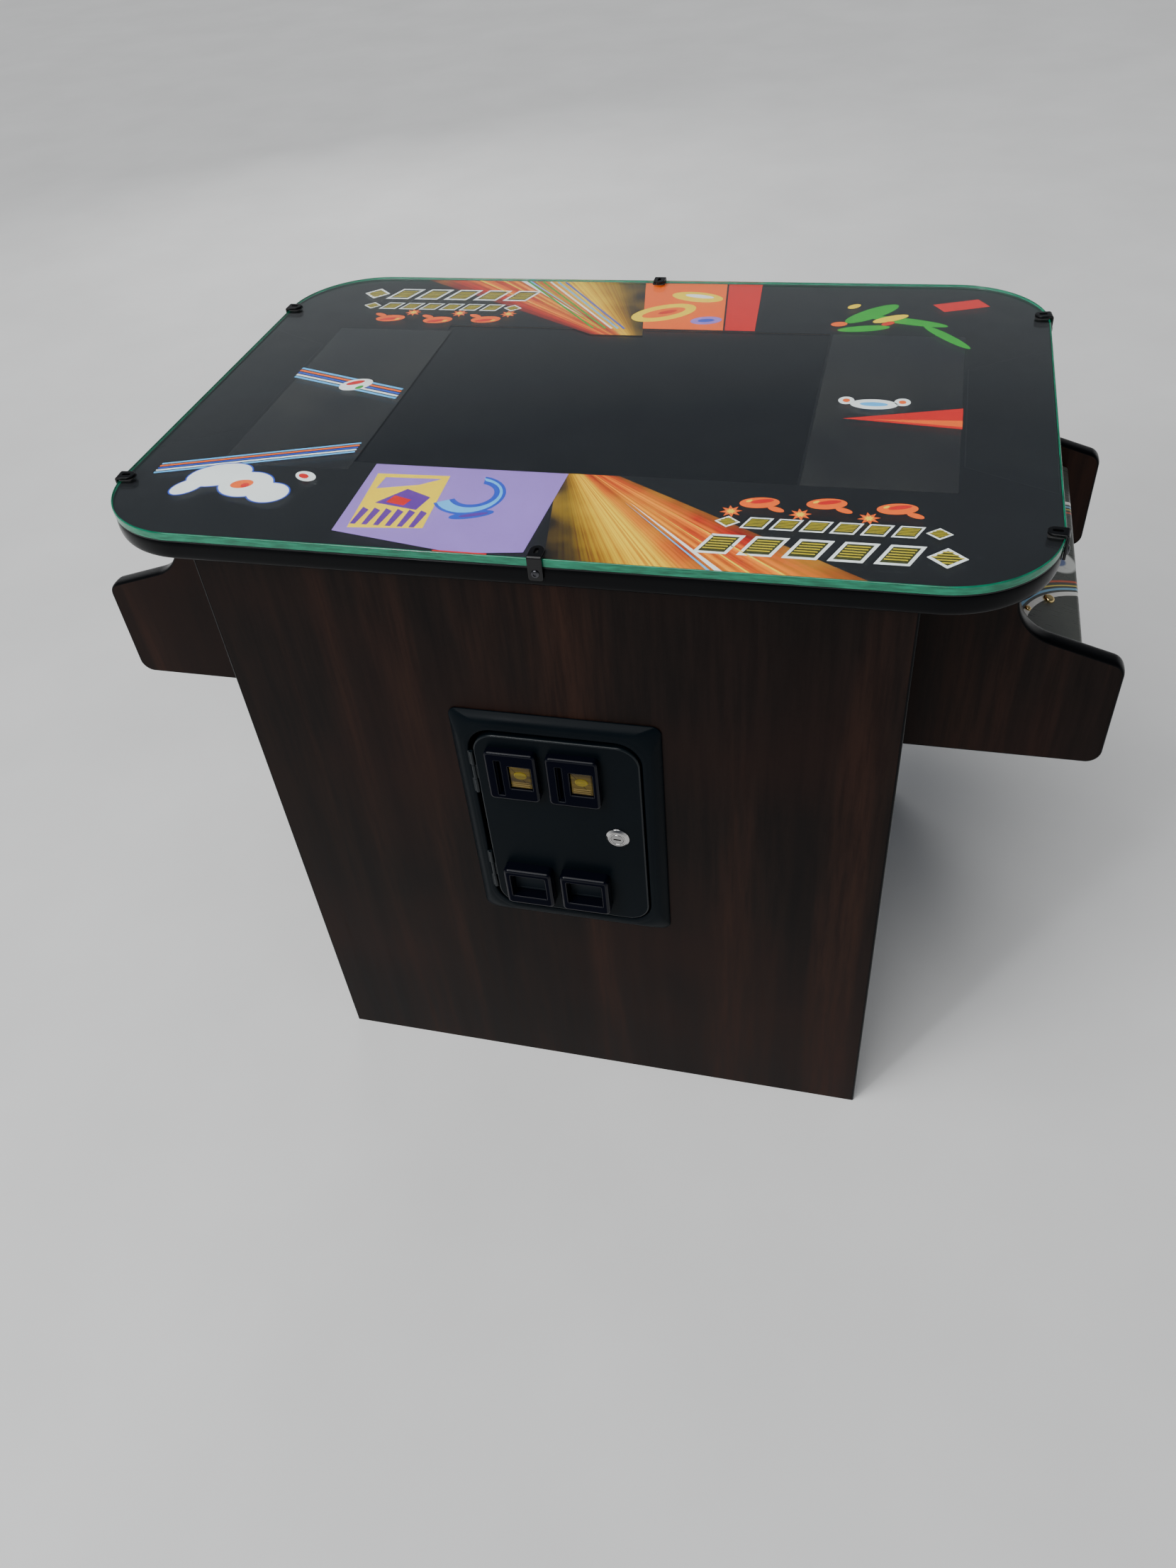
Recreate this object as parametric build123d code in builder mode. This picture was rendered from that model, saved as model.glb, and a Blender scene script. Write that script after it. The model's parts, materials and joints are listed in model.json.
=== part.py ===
from build123d import *
from math import asin, atan, cos, radians, sin, tan
import os

# A cocktail arcade table: a low cabinet with a glass-covered top that lifts on rear hinges, a
# control box for one player at each end, and a coin door on the long front side.
# Millimetres. X is the long axis, the coin door faces -Y, +Z is up, and the floor is z = 0
# under the middle of the tabletop.

os.makedirs("parts", exist_ok=True)

# ---- driving dimensions ----
TABLE_H = 740.0  # floor to glass top
TOP_L, TOP_W, TOP_R = 847.0, 579.4, 95.0  # glass outline and its corner radius
GLASS_T, ART_T, BOARD_T = 8.0, 1.0, 18.0
TOP_TRIM_T = 3.0  # edge moulding around the tabletop board
BODY_L, BODY_W = 636.7, 557.8  # cabinet outside, over its edge mouldings
PANEL_T = 18.0
EDGE_T = 2.2  # edge moulding on the long panels
GROOVE_D, GROOVE_W = 10.0, 1.9  # saw groove that holds a moulding's barb
BARB_D, BARB_W = 9.0, 1.6
CLEAR = 0.3

BODY_H = TABLE_H - GLASS_T - ART_T - BOARD_T
END_X = BODY_L / 2 - EDGE_T  # outer face of the end panels
INNER_X = END_X - PANEL_T
INNER_Y = BODY_W / 2 - PANEL_T
BASE_Z = 40.0

# control boxes
BOX_X = 498.2  # outer edge of the cheeks, over their moulding
BOX_Z = 492.0  # underside of the cheeks
CHEEK_Y, CHEEK_T = 174.0, 18.0  # inner face and thickness of the cheeks
CHEEK_TRIM_T = 2.5
SLOPE = 17.5  # control panel slope, degrees
CHEEK_SLOPE_AT = (460.5, 616.0)  # a point on the cheek's sloping edge
RISER_AT, RISER_TOP = (403.0, 640.0), 397.0  # the cheek's upright edge, and its x at the top
CORNER_R, THROAT_R = 14.5, 46.0
PLATE_X, PLATE_Z = 467.0, 590.0  # outer top corner of the control plate
PLATE_T, LIP_H = 2.0, 22.0
PLATE_W = 2 * (CHEEK_Y - CLEAR)

# joystick and buttons, in the control plate's own plane: x towards the player, y sideways
STICK_AT = (-80.0, -88.0)
STICK_R, BALL_R, BALL_Z = 4.5, 16.0, 46.0
PIVOT_Z = -11.0
STICK_END = -44.0
BASE_SIDE, BASE_DEPTH = 64.0, 46.0
BUTTONS = {"start": (-118.0, 0.0), "action_a": (-72.0, 42.0), "action_b": (-84.0, 92.0)}
BUTTON_R, BEZEL_R, BARREL_R = 11.7, 16.5, 13.9
BOLTS = [(-31.0, -90.0), (-31.0, 90.0), (-132.0, -90.0), (-132.0, 90.0)]
BUTTON_H = 8.0  # how far a button stands out
BOLT_R, BOLT_H = 5.5, 3.0  # brass carriage bolt heads
STICK_SCREW = 28.0  # half spacing of the joystick screws
SCREW_R, SCREW_H = 3.2, 2.0

# coin door, seen from the front: x and z, with depth d measured out from the front panel
FRAME_X, DOOR_Z = 3.5, 419.5
FRAME_W, FRAME_H, RIM_D = 206.0, 284.0, 10.0
MOUTH_W, MOUTH_H, MOUTH_R = 170.0, 249.5, 26.0
SLEEVE_T = 3.0
DOOR_X, DOOR_W, DOOR_H, DOOR_R = 5.25, 163.5, 241.8, 23.0
DOOR_D, SHEET_T = 12.0, 2.0
HINGE_X, HINGE_D, KNUCKLE_R = -79.2, 11.0, 2.1
HINGE_Z = (322.6, 463.0)  # foot of the two coin door hinges
HINGE_L = 54.0
COIN_X = {"left": -38.0, "right": 22.5}
ENTRY_Z, ENTRY_W, ENTRY_H, ENTRY_T = 495.5, 51.5, 61.0, 8.5
REJECT_W, REJECT_H, REJECT_DX = 22.5, 29.0, 8.5
CUP_Z, CUP_W, CUP_H, CUP_T = 339.0, 52.0, 51.0, 13.0
FLAP_Z, FLAP_D = 358.0, 12.0
LOCK_X, LOCK_Z, LOCK_R, PLUG_R = 60.0, 421.0, 9.0, 6.5

# monitor
SCREEN_AT = (-4.0, 8.0)
SCREEN_L, SCREEN_W = 420.0, 308.0
CASE_L, CASE_W, CASE_H = 446.0, 334.0, 41.0

# lid hinges
LID_HINGE_X = (-200.0, 200.0)
LID_AXIS_Y, LID_AXIS_Z = 283.0, 709.0
LID_KNUCKLE_R, LID_KNUCKLE_L = 3.2, 12.0
LEAF_T, LEAF_W = 1.5, 5 * LID_KNUCKLE_L

# mains inlet on the rear panel, x as seen from behind
INLET_X, INLET_Z = -220.0, 130.0
ROCKER_TILT = 9.0
SPEAKER_X, SPEAKER_Z = 150.0, 470.0

# vents and speaker grille in the rear panel, x as seen from behind
VENTS = [(-150.0, 470.0), (-150.0, 250.0), (150.0, 250.0)]
VENT_L, VENT_H, VENT_PITCH, VENT_ROWS = 120.0, 8.0, 18.0, 6
GRILLE_RINGS = ((12.0, 6), (26.0, 12), (39.0, 18))  # radius and number of holes
GRILLE_HOLE_R = 4.0

# wiring holes in the end panels, and the cleats in the cabinet's corners
WIRE_HOLE_W, WIRE_HOLE_H, WIRE_HOLE_R, WIRE_HOLE_Z = 80.0, 45.0, 10.0, 560.0
CLEAT, CLEAT_H, CLEAT_BEVEL = 30.0, 630.0, 4.0

# pieces under the control panels
BARREL_L, NUT_R, NUT_T = 30.0, 17.5, 7.0
SWITCH_L, SWITCH_W, SWITCH_H = 20.0, 10.0, 15.0

# ---- planes ----
FRONT = Plane(origin=(0, -BODY_W / 2, 0), x_dir=(1, 0, 0), z_dir=(0, -1, 0))
REAR = Plane(origin=(0, BODY_W / 2, 0), x_dir=(-1, 0, 0), z_dir=(0, 1, 0))
ENDS = {
    "right": Plane(origin=(END_X, 0, 0), x_dir=(0, 1, 0), z_dir=(1, 0, 0)),
    "left": Plane(origin=(-END_X, 0, 0), x_dir=(0, -1, 0), z_dir=(-1, 0, 0)),
}
PROFILES = {
    "right": Plane.XZ,
    "left": Plane(origin=(0, 0, 0), x_dir=(-1, 0, 0), z_dir=(0, 1, 0)),
}
TILT_C, TILT_S = cos(radians(SLOPE)), sin(radians(SLOPE))
PANELS = {
    "right": Plane(origin=(PLATE_X, 0, PLATE_Z), x_dir=(TILT_C, 0, -TILT_S), z_dir=(TILT_S, 0, TILT_C)),
    "left": Plane(origin=(-PLATE_X, 0, PLATE_Z), x_dir=(-TILT_C, 0, -TILT_S), z_dir=(-TILT_S, 0, TILT_C)),
}


def across(panel, at, z, direction):
    """A plane that looks along a direction inside a control panel, at a point under or over it."""
    point = panel.from_local_coords(Vector(at[0], at[1], z))
    return Plane(origin=point, x_dir=panel.z_dir, z_dir=direction)


def rims_above(edges_found, panel, height):
    """The round edges of studs on a control panel that lie above a height over it."""
    rounds = edges_found.filter_by(GeomType.CIRCLE)
    return rounds.filter_by(lambda e: panel.to_local_coords(e.center()).Z > height)


def cheek_face(inset):
    """Side view of a control box cheek: level foot, sloping top and a throat up to the board."""
    drop = tan(radians(SLOPE))
    lean = (RISER_AT[0] - RISER_TOP) / (BODY_H - RISER_AT[1])
    slope_z = CHEEK_SLOPE_AT[1] - inset / cos(radians(SLOPE)) + CHEEK_SLOPE_AT[0] * drop
    riser_x = RISER_AT[0] - inset / cos(atan(lean)) + RISER_AT[1] * lean
    outer_x = BOX_X - inset
    foot = (outer_x, BOX_Z + inset)
    nose = (outer_x, slope_z - outer_x * drop)
    throat_z = (slope_z - riser_x * drop) / (1 - lean * drop)
    throat = (riser_x - throat_z * lean, throat_z)
    top = (riser_x - BODY_H * lean, BODY_H)
    rounds = ((foot, CORNER_R - inset), (nose, CORNER_R - inset), (throat, THROAT_R + inset))
    with BuildSketch() as face:
        with BuildLine():
            Polyline((END_X, BOX_Z + inset), foot, nose, throat, top, (END_X, BODY_H), close=True)
        make_face()
        for corner, radius in rounds:
            fillet(face.vertices().sort_by_distance((corner[0], corner[1], 0))[:1], radius)
    return face.sketch


def on_rim(edge, rim):
    """Whether an edge of an upright plate lies over a wire that is drawn flat."""
    middle = edge.center()
    return rim.distance_to(Vertex(middle.X, middle.Z, 0)) < 0.01


def beyond(edge, inset):
    """Whether a level edge lies outside the tabletop's outline drawn in by a distance."""
    at = edge.center()
    straight_x, straight_y = TOP_L / 2 - TOP_R, TOP_W / 2 - TOP_R
    reach = Vector(max(abs(at.X) - straight_x, 0), max(abs(at.Y) - straight_y, 0), 0).length
    return reach > TOP_R - inset


# ---- cabinet body ----
with BuildPart() as front_panel:
    with BuildSketch(FRONT.offset(-PANEL_T)):
        with Locations((0, BODY_H / 2)):
            Rectangle(BODY_L - 2 * EDGE_T, BODY_H)
        with Locations((FRAME_X, DOOR_Z)):
            RectangleRounded(MOUTH_W + 8, MOUTH_H + 8, MOUTH_R + 4, mode=Mode.SUBTRACT)
    extrude(amount=PANEL_T)
    with BuildSketch(Plane.XY):
        with GridLocations(BODY_L - 2 * EDGE_T - GROOVE_D, 1, 2, 1):
            with Locations((0, -INNER_Y - PANEL_T / 2)):
                Rectangle(GROOVE_D, GROOVE_W)
    extrude(amount=BODY_H, mode=Mode.SUBTRACT)
front_panel.part.label = "front_panel"
export_step(front_panel.part, "parts/front_panel.step")

with BuildPart() as rear_panel:
    with BuildSketch(REAR.offset(-PANEL_T)):
        with Locations((0, BODY_H / 2)):
            Rectangle(BODY_L - 2 * EDGE_T, BODY_H)
        with Locations((INLET_X, INLET_Z)):
            Rectangle(28, 48, mode=Mode.SUBTRACT)
        with Locations(*VENTS):
            with GridLocations(1, VENT_PITCH, 1, VENT_ROWS):
                SlotOverall(VENT_L, VENT_H, mode=Mode.SUBTRACT)
        with Locations((SPEAKER_X, SPEAKER_Z)):
            for ring_r, holes in GRILLE_RINGS:
                with PolarLocations(ring_r, holes):
                    Circle(GRILLE_HOLE_R, mode=Mode.SUBTRACT)
    extrude(amount=PANEL_T)
    with BuildSketch(Plane.XY):
        with GridLocations(BODY_L - 2 * EDGE_T - GROOVE_D, 1, 2, 1):
            with Locations((0, INNER_Y + PANEL_T / 2)):
                Rectangle(GROOVE_D, GROOVE_W)
    extrude(amount=BODY_H, mode=Mode.SUBTRACT)
rear_panel.part.label = "rear_panel"
export_step(rear_panel.part, "parts/rear_panel.step")

for side, plane in ENDS.items():
    with BuildPart() as end_panel:
        with BuildSketch(plane.offset(-PANEL_T)):
            with Locations((0, BODY_H / 2)):
                Rectangle(2 * INNER_Y, BODY_H)
            with Locations((0, WIRE_HOLE_Z)):
                RectangleRounded(WIRE_HOLE_W, WIRE_HOLE_H, WIRE_HOLE_R, mode=Mode.SUBTRACT)
        extrude(amount=PANEL_T)
    end_panel.part.label = f"end_panel_{side}"
    export_step(end_panel.part, f"parts/end_panel_{side}.step")

with BuildPart() as base_board:
    with BuildSketch(Plane.XY.offset(BASE_Z)):
        Rectangle(2 * INNER_X, 2 * INNER_Y)
    extrude(amount=PANEL_T)
base_board.part.label = "base_board"
export_step(base_board.part, "parts/base_board.step")

with BuildPart() as corner_cleats:
    with BuildSketch(Plane.XY.offset(BASE_Z + PANEL_T)):
        with GridLocations(2 * INNER_X - CLEAT, 2 * INNER_Y - CLEAT, 2, 2):
            Rectangle(CLEAT, CLEAT)
    extrude(amount=CLEAT_H)
    inner_edges = edges().filter_by(Axis.Z).group_by(lambda e: abs(e.center().X) + abs(e.center().Y))[0]
    chamfer(inner_edges, CLEAT_BEVEL)
corner_cleats.part.label = "corner_cleats"
export_step(corner_cleats.part, "parts/corner_cleats.step")

with BuildPart() as panel_trim:
    with BuildSketch(Plane.XY):
        with GridLocations(BODY_L - EDGE_T, 2 * INNER_Y + PANEL_T, 2, 2):
            Rectangle(EDGE_T, PANEL_T)
        outer = vertices().group_by(lambda v: abs(v.X))[-1]
        fillet(outer, EDGE_T - 0.2)
        with GridLocations(BODY_L - 2 * EDGE_T - BARB_D, 2 * INNER_Y + PANEL_T, 2, 2):
            Rectangle(BARB_D, BARB_W)
    extrude(amount=BODY_H - CLEAR)
panel_trim.part.label = "panel_trim"
export_step(panel_trim.part, "parts/panel_trim.step")

# ---- control boxes ----
CHEEK_STARTS = (CHEEK_Y, -CHEEK_Y - CHEEK_T)
with BuildPart() as cheeks:
    for start in CHEEK_STARTS:
        with BuildSketch(Plane.XZ.offset(start)):
            add(cheek_face(CHEEK_TRIM_T))
        extrude(amount=CHEEK_T)
        with BuildSketch(Plane.XZ.offset(start + (CHEEK_T - GROOVE_W) / 2)):
            add(cheek_face(CHEEK_TRIM_T))
            add(cheek_face(CHEEK_TRIM_T + GROOVE_D), mode=Mode.SUBTRACT)
        extrude(amount=GROOVE_W, mode=Mode.SUBTRACT)
    mirror(about=Plane.YZ)
cheeks.part.label = "control_cheeks"
export_step(cheeks.part, "parts/control_cheeks.step")

with BuildPart() as cheek_trim:
    for start in CHEEK_STARTS:
        with BuildSketch(Plane.XZ.offset(start)):
            add(cheek_face(0))
            add(cheek_face(CHEEK_TRIM_T), mode=Mode.SUBTRACT)
        extrude(amount=CHEEK_T)
    rim = cheek_face(0).wire()
    long_edges = edges().filter_by(Plane.XZ).filter_by(lambda e: e.length > 2 * CHEEK_TRIM_T)
    fillet([e for e in long_edges if on_rim(e, rim)], CHEEK_TRIM_T - CLEAR)
    for start in CHEEK_STARTS:
        with BuildSketch(Plane.XZ.offset(start + (CHEEK_T - BARB_W) / 2)):
            add(cheek_face(CHEEK_TRIM_T))
            add(cheek_face(CHEEK_TRIM_T + BARB_D), mode=Mode.SUBTRACT)
        extrude(amount=BARB_W)
    mirror(about=Plane.YZ)
cheek_trim.part.label = "cheek_trim"
export_step(cheek_trim.part, "parts/cheek_trim.step")

with BuildPart() as control_floors:
    with BuildSketch(Plane.XY.offset(BOX_Z)):
        for sign in (1, -1):
            with Locations((sign * (END_X + PLATE_X - PLATE_T) / 2, 0)):
                Rectangle(PLATE_X - PLATE_T - END_X, 2 * CHEEK_Y)
    extrude(amount=PANEL_T)
control_floors.part.label = "control_floors"
export_step(control_floors.part, "parts/control_floors.step")


def plate_z(x):
    """Height of the control plate's top at a distance from the cabinet's middle."""
    return PLATE_Z + (PLATE_X - x) * tan(radians(SLOPE))


UNDER = PLATE_T / TILT_C
with BuildPart() as control_aprons:
    for profile in PROFILES.values():
        with BuildSketch(profile):
            with BuildLine():
                outer_x = PLATE_X - PLATE_T
                inner_x = outer_x - PANEL_T
                Polyline(
                    (inner_x, BOX_Z + PANEL_T),
                    (outer_x, BOX_Z + PANEL_T),
                    (outer_x, plate_z(outer_x) - UNDER - 2),
                    (inner_x, plate_z(inner_x) - UNDER - CLEAR),
                    close=True,
                )
            make_face()
        extrude(amount=CHEEK_Y, both=True)
control_aprons.part.label = "control_aprons"
export_step(control_aprons.part, "parts/control_aprons.step")

for side, panel in PANELS.items():
    with BuildPart() as plate:
        with BuildSketch(PROFILES[side]):
            with BuildLine():
                Polyline(
                    (PLATE_X, PLATE_Z - LIP_H),
                    (PLATE_X, PLATE_Z),
                    (END_X, plate_z(END_X)),
                    (END_X, plate_z(END_X) - UNDER),
                    (PLATE_X - PLATE_T, plate_z(PLATE_X - PLATE_T) - UNDER),
                    (PLATE_X - PLATE_T, PLATE_Z - LIP_H),
                    close=True,
                )
            make_face()
            bend = vertices().sort_by_distance((PLATE_X, PLATE_Z, 0))
            fillet(bend[:1], 2 * PLATE_T)
            inner_bend = (PLATE_X - PLATE_T, plate_z(PLATE_X) - UNDER, 0)
            fillet(vertices().sort_by_distance(inner_bend)[:1], PLATE_T)
        extrude(amount=PLATE_W / 2, both=True)
        with BuildSketch(panel.offset(-2 * PLATE_T)):
            with Locations(STICK_AT):
                Circle(9.5)
                with GridLocations(2 * STICK_SCREW, 2 * STICK_SCREW, 2, 2):
                    Circle(2.2)
            with Locations(*BUTTONS.values()):
                Circle(BARREL_R + CLEAR)
            with Locations(*BOLTS):
                Circle(3.2)
        extrude(amount=4 * PLATE_T, mode=Mode.SUBTRACT)
    plate.part.label = f"control_plate_{side}"
    export_step(plate.part, f"parts/control_plate_{side}.step")

with BuildPart() as panel_bolts:
    for panel in PANELS.values():
        with BuildSketch(panel):
            with Locations(*BOLTS):
                Circle(BOLT_R)
        extrude(amount=BOLT_H)
        fillet(rims_above(edges(), panel, BOLT_H - 0.1), BOLT_H - 0.4)
        with BuildSketch(panel):
            with Locations(*BOLTS):
                Circle(2.9)
        extrude(amount=-24)
panel_bolts.part.label = "panel_bolts"
export_step(panel_bolts.part, "parts/panel_bolts.step")

with BuildPart() as stick_screws:
    for panel in PANELS.values():
        with BuildSketch(panel):
            with Locations(STICK_AT):
                with GridLocations(2 * STICK_SCREW, 2 * STICK_SCREW, 2, 2):
                    Circle(SCREW_R)
        extrude(amount=SCREW_H)
        fillet(rims_above(edges(), panel, SCREW_H - 0.1), SCREW_H - CLEAR)
        with BuildSketch(panel):
            with Locations(STICK_AT):
                with GridLocations(2 * STICK_SCREW, 2 * STICK_SCREW, 2, 2):
                    Circle(1.9)
        extrude(amount=-PLATE_T - 5)
stick_screws.part.label = "stick_screws"
export_step(stick_screws.part, "parts/stick_screws.step")

# ---- joysticks ----
BOSS_GAP = 13.0  # from the stick's middle to the bosses that carry the ring
with BuildPart() as stick_bases:
    for panel in PANELS.values():
        top = panel.offset(-PLATE_T)
        with BuildSketch(top):
            with Locations(STICK_AT):
                RectangleRounded(BASE_SIDE, BASE_SIDE, 5)
        extrude(amount=-BASE_DEPTH)
        with BuildSketch(top.offset(-3)):
            with Locations(STICK_AT):
                RectangleRounded(BASE_SIDE - 8, BASE_SIDE - 8, 3)
        extrude(amount=-BASE_DEPTH, mode=Mode.SUBTRACT)
        with BuildSketch(top):
            with Locations(STICK_AT):
                Circle(9.5)
        extrude(amount=-3, mode=Mode.SUBTRACT)
        with BuildSketch(top):
            with Locations(STICK_AT):
                with GridLocations(2 * STICK_SCREW, 2 * STICK_SCREW, 2, 2):
                    Circle(2.0)
        extrude(amount=-8, mode=Mode.SUBTRACT)
        with BuildSketch(top.offset(-2.5)):
            for sign in (1, -1):
                middle = (BOSS_GAP + BASE_SIDE / 2 - 3) / 2
                with Locations((STICK_AT[0], STICK_AT[1] + sign * middle)):
                    Rectangle(8, BASE_SIDE / 2 - 3 - BOSS_GAP)
        extrude(amount=-10.5)
        with BuildSketch(across(panel, STICK_AT, PIVOT_Z, panel.y_dir)):
            Circle(1.55)
        extrude(amount=18, both=True, mode=Mode.SUBTRACT)
stick_bases.part.label = "stick_bases"
export_step(stick_bases.part, "parts/stick_bases.step")

for side, panel in PANELS.items():
    with BuildPart() as ring:
        with BuildSketch(panel.offset(PIVOT_Z)):
            with Locations(STICK_AT):
                Circle(12)
                Circle(8, mode=Mode.SUBTRACT)
        extrude(amount=3, both=True)
        for sign in (1, -1):
            with BuildSketch(across(panel, STICK_AT, PIVOT_Z, sign * panel.y_dir).offset(11)):
                Circle(1.5)
            extrude(amount=6)
        with BuildSketch(across(panel, STICK_AT, PIVOT_Z, panel.x_dir)):
            Circle(1.55)
        extrude(amount=18, both=True, mode=Mode.SUBTRACT)
    ring.part.label = f"stick_ring_{side}"
    export_step(ring.part, f"parts/stick_ring_{side}.step")

    with BuildPart() as shaft:
        with BuildSketch(panel.offset(STICK_END)):
            with Locations(STICK_AT):
                Circle(STICK_R)
        extrude(amount=BALL_Z - 6 - STICK_END)
        with BuildSketch(panel.offset(STICK_END + 2)):
            with Locations(STICK_AT):
                Circle(9)
        extrude(amount=6)
        with BuildSketch(across(panel, STICK_AT, PIVOT_Z, panel.x_dir)):
            Circle(1.5)
        extrude(amount=11.6, both=True)
    shaft.part.label = f"stick_shaft_{side}"
    export_step(shaft.part, f"parts/stick_shaft_{side}.step")

    with BuildPart() as ball:
        with BuildSketch(across(panel, STICK_AT, BALL_Z, panel.y_dir)):
            Circle(BALL_R)
            with Locations((0, -BALL_R / 2)):
                Rectangle(2 * BALL_R, BALL_R, mode=Mode.SUBTRACT)
            with Locations((-BALL_R, 0)):
                Rectangle(3, 4 * BALL_R, mode=Mode.SUBTRACT)
        axis = Axis(across(panel, STICK_AT, BALL_Z, panel.y_dir).origin, panel.z_dir)
        revolve(axis=axis)
        with BuildSketch(panel.offset(BALL_Z - BALL_R)):
            with Locations(STICK_AT):
                Circle(STICK_R)
        extrude(amount=BALL_R - 6, mode=Mode.SUBTRACT)
    ball.part.label = f"stick_ball_{side}"
    export_step(ball.part, f"parts/stick_ball_{side}.step")

# ---- push buttons ----
with BuildPart() as button_housings:
    for panel in PANELS.values():
        with BuildSketch(panel):
            with Locations(*BUTTONS.values()):
                Circle(BEZEL_R)
        extrude(amount=3.5, taper=25)
        with BuildSketch(panel):
            with Locations(*BUTTONS.values()):
                Circle(BARREL_R)
        extrude(amount=-BARREL_L)
        with BuildSketch(panel.offset(4)):
            with Locations(*BUTTONS.values()):
                Circle(BUTTON_R + CLEAR)
        extrude(amount=-31, mode=Mode.SUBTRACT)
        with BuildSketch(panel.offset(-20)):
            with Locations(*BUTTONS.values()):
                Circle(4)
        extrude(amount=-12, mode=Mode.SUBTRACT)
button_housings.part.label = "button_housings"
export_step(button_housings.part, "parts/button_housings.step")

with BuildPart() as button_nuts:
    for panel in PANELS.values():
        with BuildSketch(panel.offset(-PLATE_T)):
            with Locations(*BUTTONS.values()):
                RegularPolygon(NUT_R, 6)
                Circle(BARREL_R + 0.1, mode=Mode.SUBTRACT)
        extrude(amount=-NUT_T)
button_nuts.part.label = "button_nuts"
export_step(button_nuts.part, "parts/button_nuts.step")

with BuildPart() as button_switches:
    for panel in PANELS.values():
        with BuildSketch(panel.offset(-BARREL_L)):
            with Locations(*BUTTONS.values()):
                Rectangle(SWITCH_L, SWITCH_W)
        extrude(amount=-SWITCH_H)
        with BuildSketch(panel.offset(-BARREL_L - SWITCH_H)):
            with Locations(*BUTTONS.values()):
                with GridLocations(7, 1, 3, 1):
                    Rectangle(1, 5)
        extrude(amount=-5)
button_switches.part.label = "button_switches"
export_step(button_switches.part, "parts/button_switches.step")

for side, panel in PANELS.items():
    for button, place in BUTTONS.items():
        with BuildPart() as plunger:
            with BuildSketch(panel.offset(-16)):
                with Locations(place):
                    Circle(BUTTON_R)
            extrude(amount=16 + BUTTON_H)
            fillet(rims_above(edges(), panel, BUTTON_H - 1), 1.5)
            with BuildSketch(panel.offset(-25)):
                with Locations(place):
                    Circle(3.5)
            extrude(amount=9)
        plunger.part.label = f"{button}_button_{side}"
        export_step(plunger.part, f"parts/{button}_button_{side}.step")

# ---- lid: board, art sheet, glass and their edge ----
BOARD_TOP = BODY_H + BOARD_T
SCREEN_CLEAR = 2.0
LEAF_FRONT_Y = 250.0  # front edge of the moving leaves, let into the board's underside
LEAF_REAR_Y = LID_AXIS_Y + LEAF_T

# Six clips hold the glass: an upright leg on the moulding, and a tab over the glass.
CLIP_W, CLIP_T, TAB_L, LEG_L = 13.0, 2.4, 15.0, 23.0
PAD_T = 1.0
CLIP_SCREW_H = PAD_T + CLIP_T - 3 * LEG_L / 4 + 1  # screw height from the glass top
CLIP_SCREW_R, CLIP_SCREW_L = 1.8, 16.0
CLIP_Y = {1: (-207.0, 208.0), -1: (-202.0, 190.0)}
CLIP_X = {-1: 10.0, 1: 0.0}


def end_clip(sign, y):
    """A plane on the glass's end edge, x pointing outwards, that follows the rounded corner."""
    past = abs(y) - (TOP_W / 2 - TOP_R)
    turn = asin(max(past, 0) / TOP_R)
    out = Vector(sign * cos(turn), (1 if y > 0 else -1) * sin(turn), 0)
    x = sign * (TOP_L / 2 - TOP_R + TOP_R * cos(turn))
    return Plane(origin=(x, y, TABLE_H), x_dir=out, z_dir=(0, 0, 1))


CLIPS = [end_clip(sign, y) for sign, places in CLIP_Y.items() for y in places]
CLIPS += [
    Plane(origin=(x, sign * TOP_W / 2, TABLE_H), x_dir=(0, sign, 0), z_dir=(0, 0, 1))
    for sign, x in CLIP_X.items()
]


def facing_out(clip, height, outwards):
    """A plane that faces out of a clip, at a height and a distance out from the glass edge."""
    origin = clip.from_local_coords(Vector(outwards, 0, height))
    return Plane(origin=origin, x_dir=clip.y_dir, z_dir=clip.x_dir)


with BuildPart() as tabletop_board:
    with BuildSketch(Plane.XY.offset(BODY_H)):
        RectangleRounded(TOP_L - 2 * TOP_TRIM_T, TOP_W - 2 * TOP_TRIM_T, TOP_R - TOP_TRIM_T)
        with Locations(SCREEN_AT):
            Rectangle(SCREEN_L + 2 * SCREEN_CLEAR, SCREEN_W + 2 * SCREEN_CLEAR, mode=Mode.SUBTRACT)
    extrude(amount=BOARD_T)
    with BuildSketch(Plane.XY.offset(BODY_H + (BOARD_T - GROOVE_W) / 2)):
        deep = TOP_TRIM_T + GROOVE_D
        RectangleRounded(TOP_L - 2 * TOP_TRIM_T, TOP_W - 2 * TOP_TRIM_T, TOP_R - TOP_TRIM_T)
        RectangleRounded(TOP_L - 2 * deep, TOP_W - 2 * deep, TOP_R - deep, mode=Mode.SUBTRACT)
    extrude(amount=GROOVE_W, mode=Mode.SUBTRACT)
    with BuildSketch(Plane.XY.offset(BODY_H)):
        for hinge_x in LID_HINGE_X:
            with Locations((hinge_x, (LEAF_FRONT_Y + LEAF_REAR_Y) / 2)):
                Rectangle(LEAF_W + 1, LEAF_REAR_Y - LEAF_FRONT_Y + 1)
    extrude(amount=LEAF_T + 0.1, mode=Mode.SUBTRACT)
    for clip in CLIPS:
        with BuildSketch(facing_out(clip, CLIP_SCREW_H, 1)):
            Circle(CLIP_SCREW_R + 0.05)
        extrude(amount=-CLIP_SCREW_L - 2, mode=Mode.SUBTRACT)
tabletop_board.part.label = "tabletop_board"
export_step(tabletop_board.part, "parts/tabletop_board.step")

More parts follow.
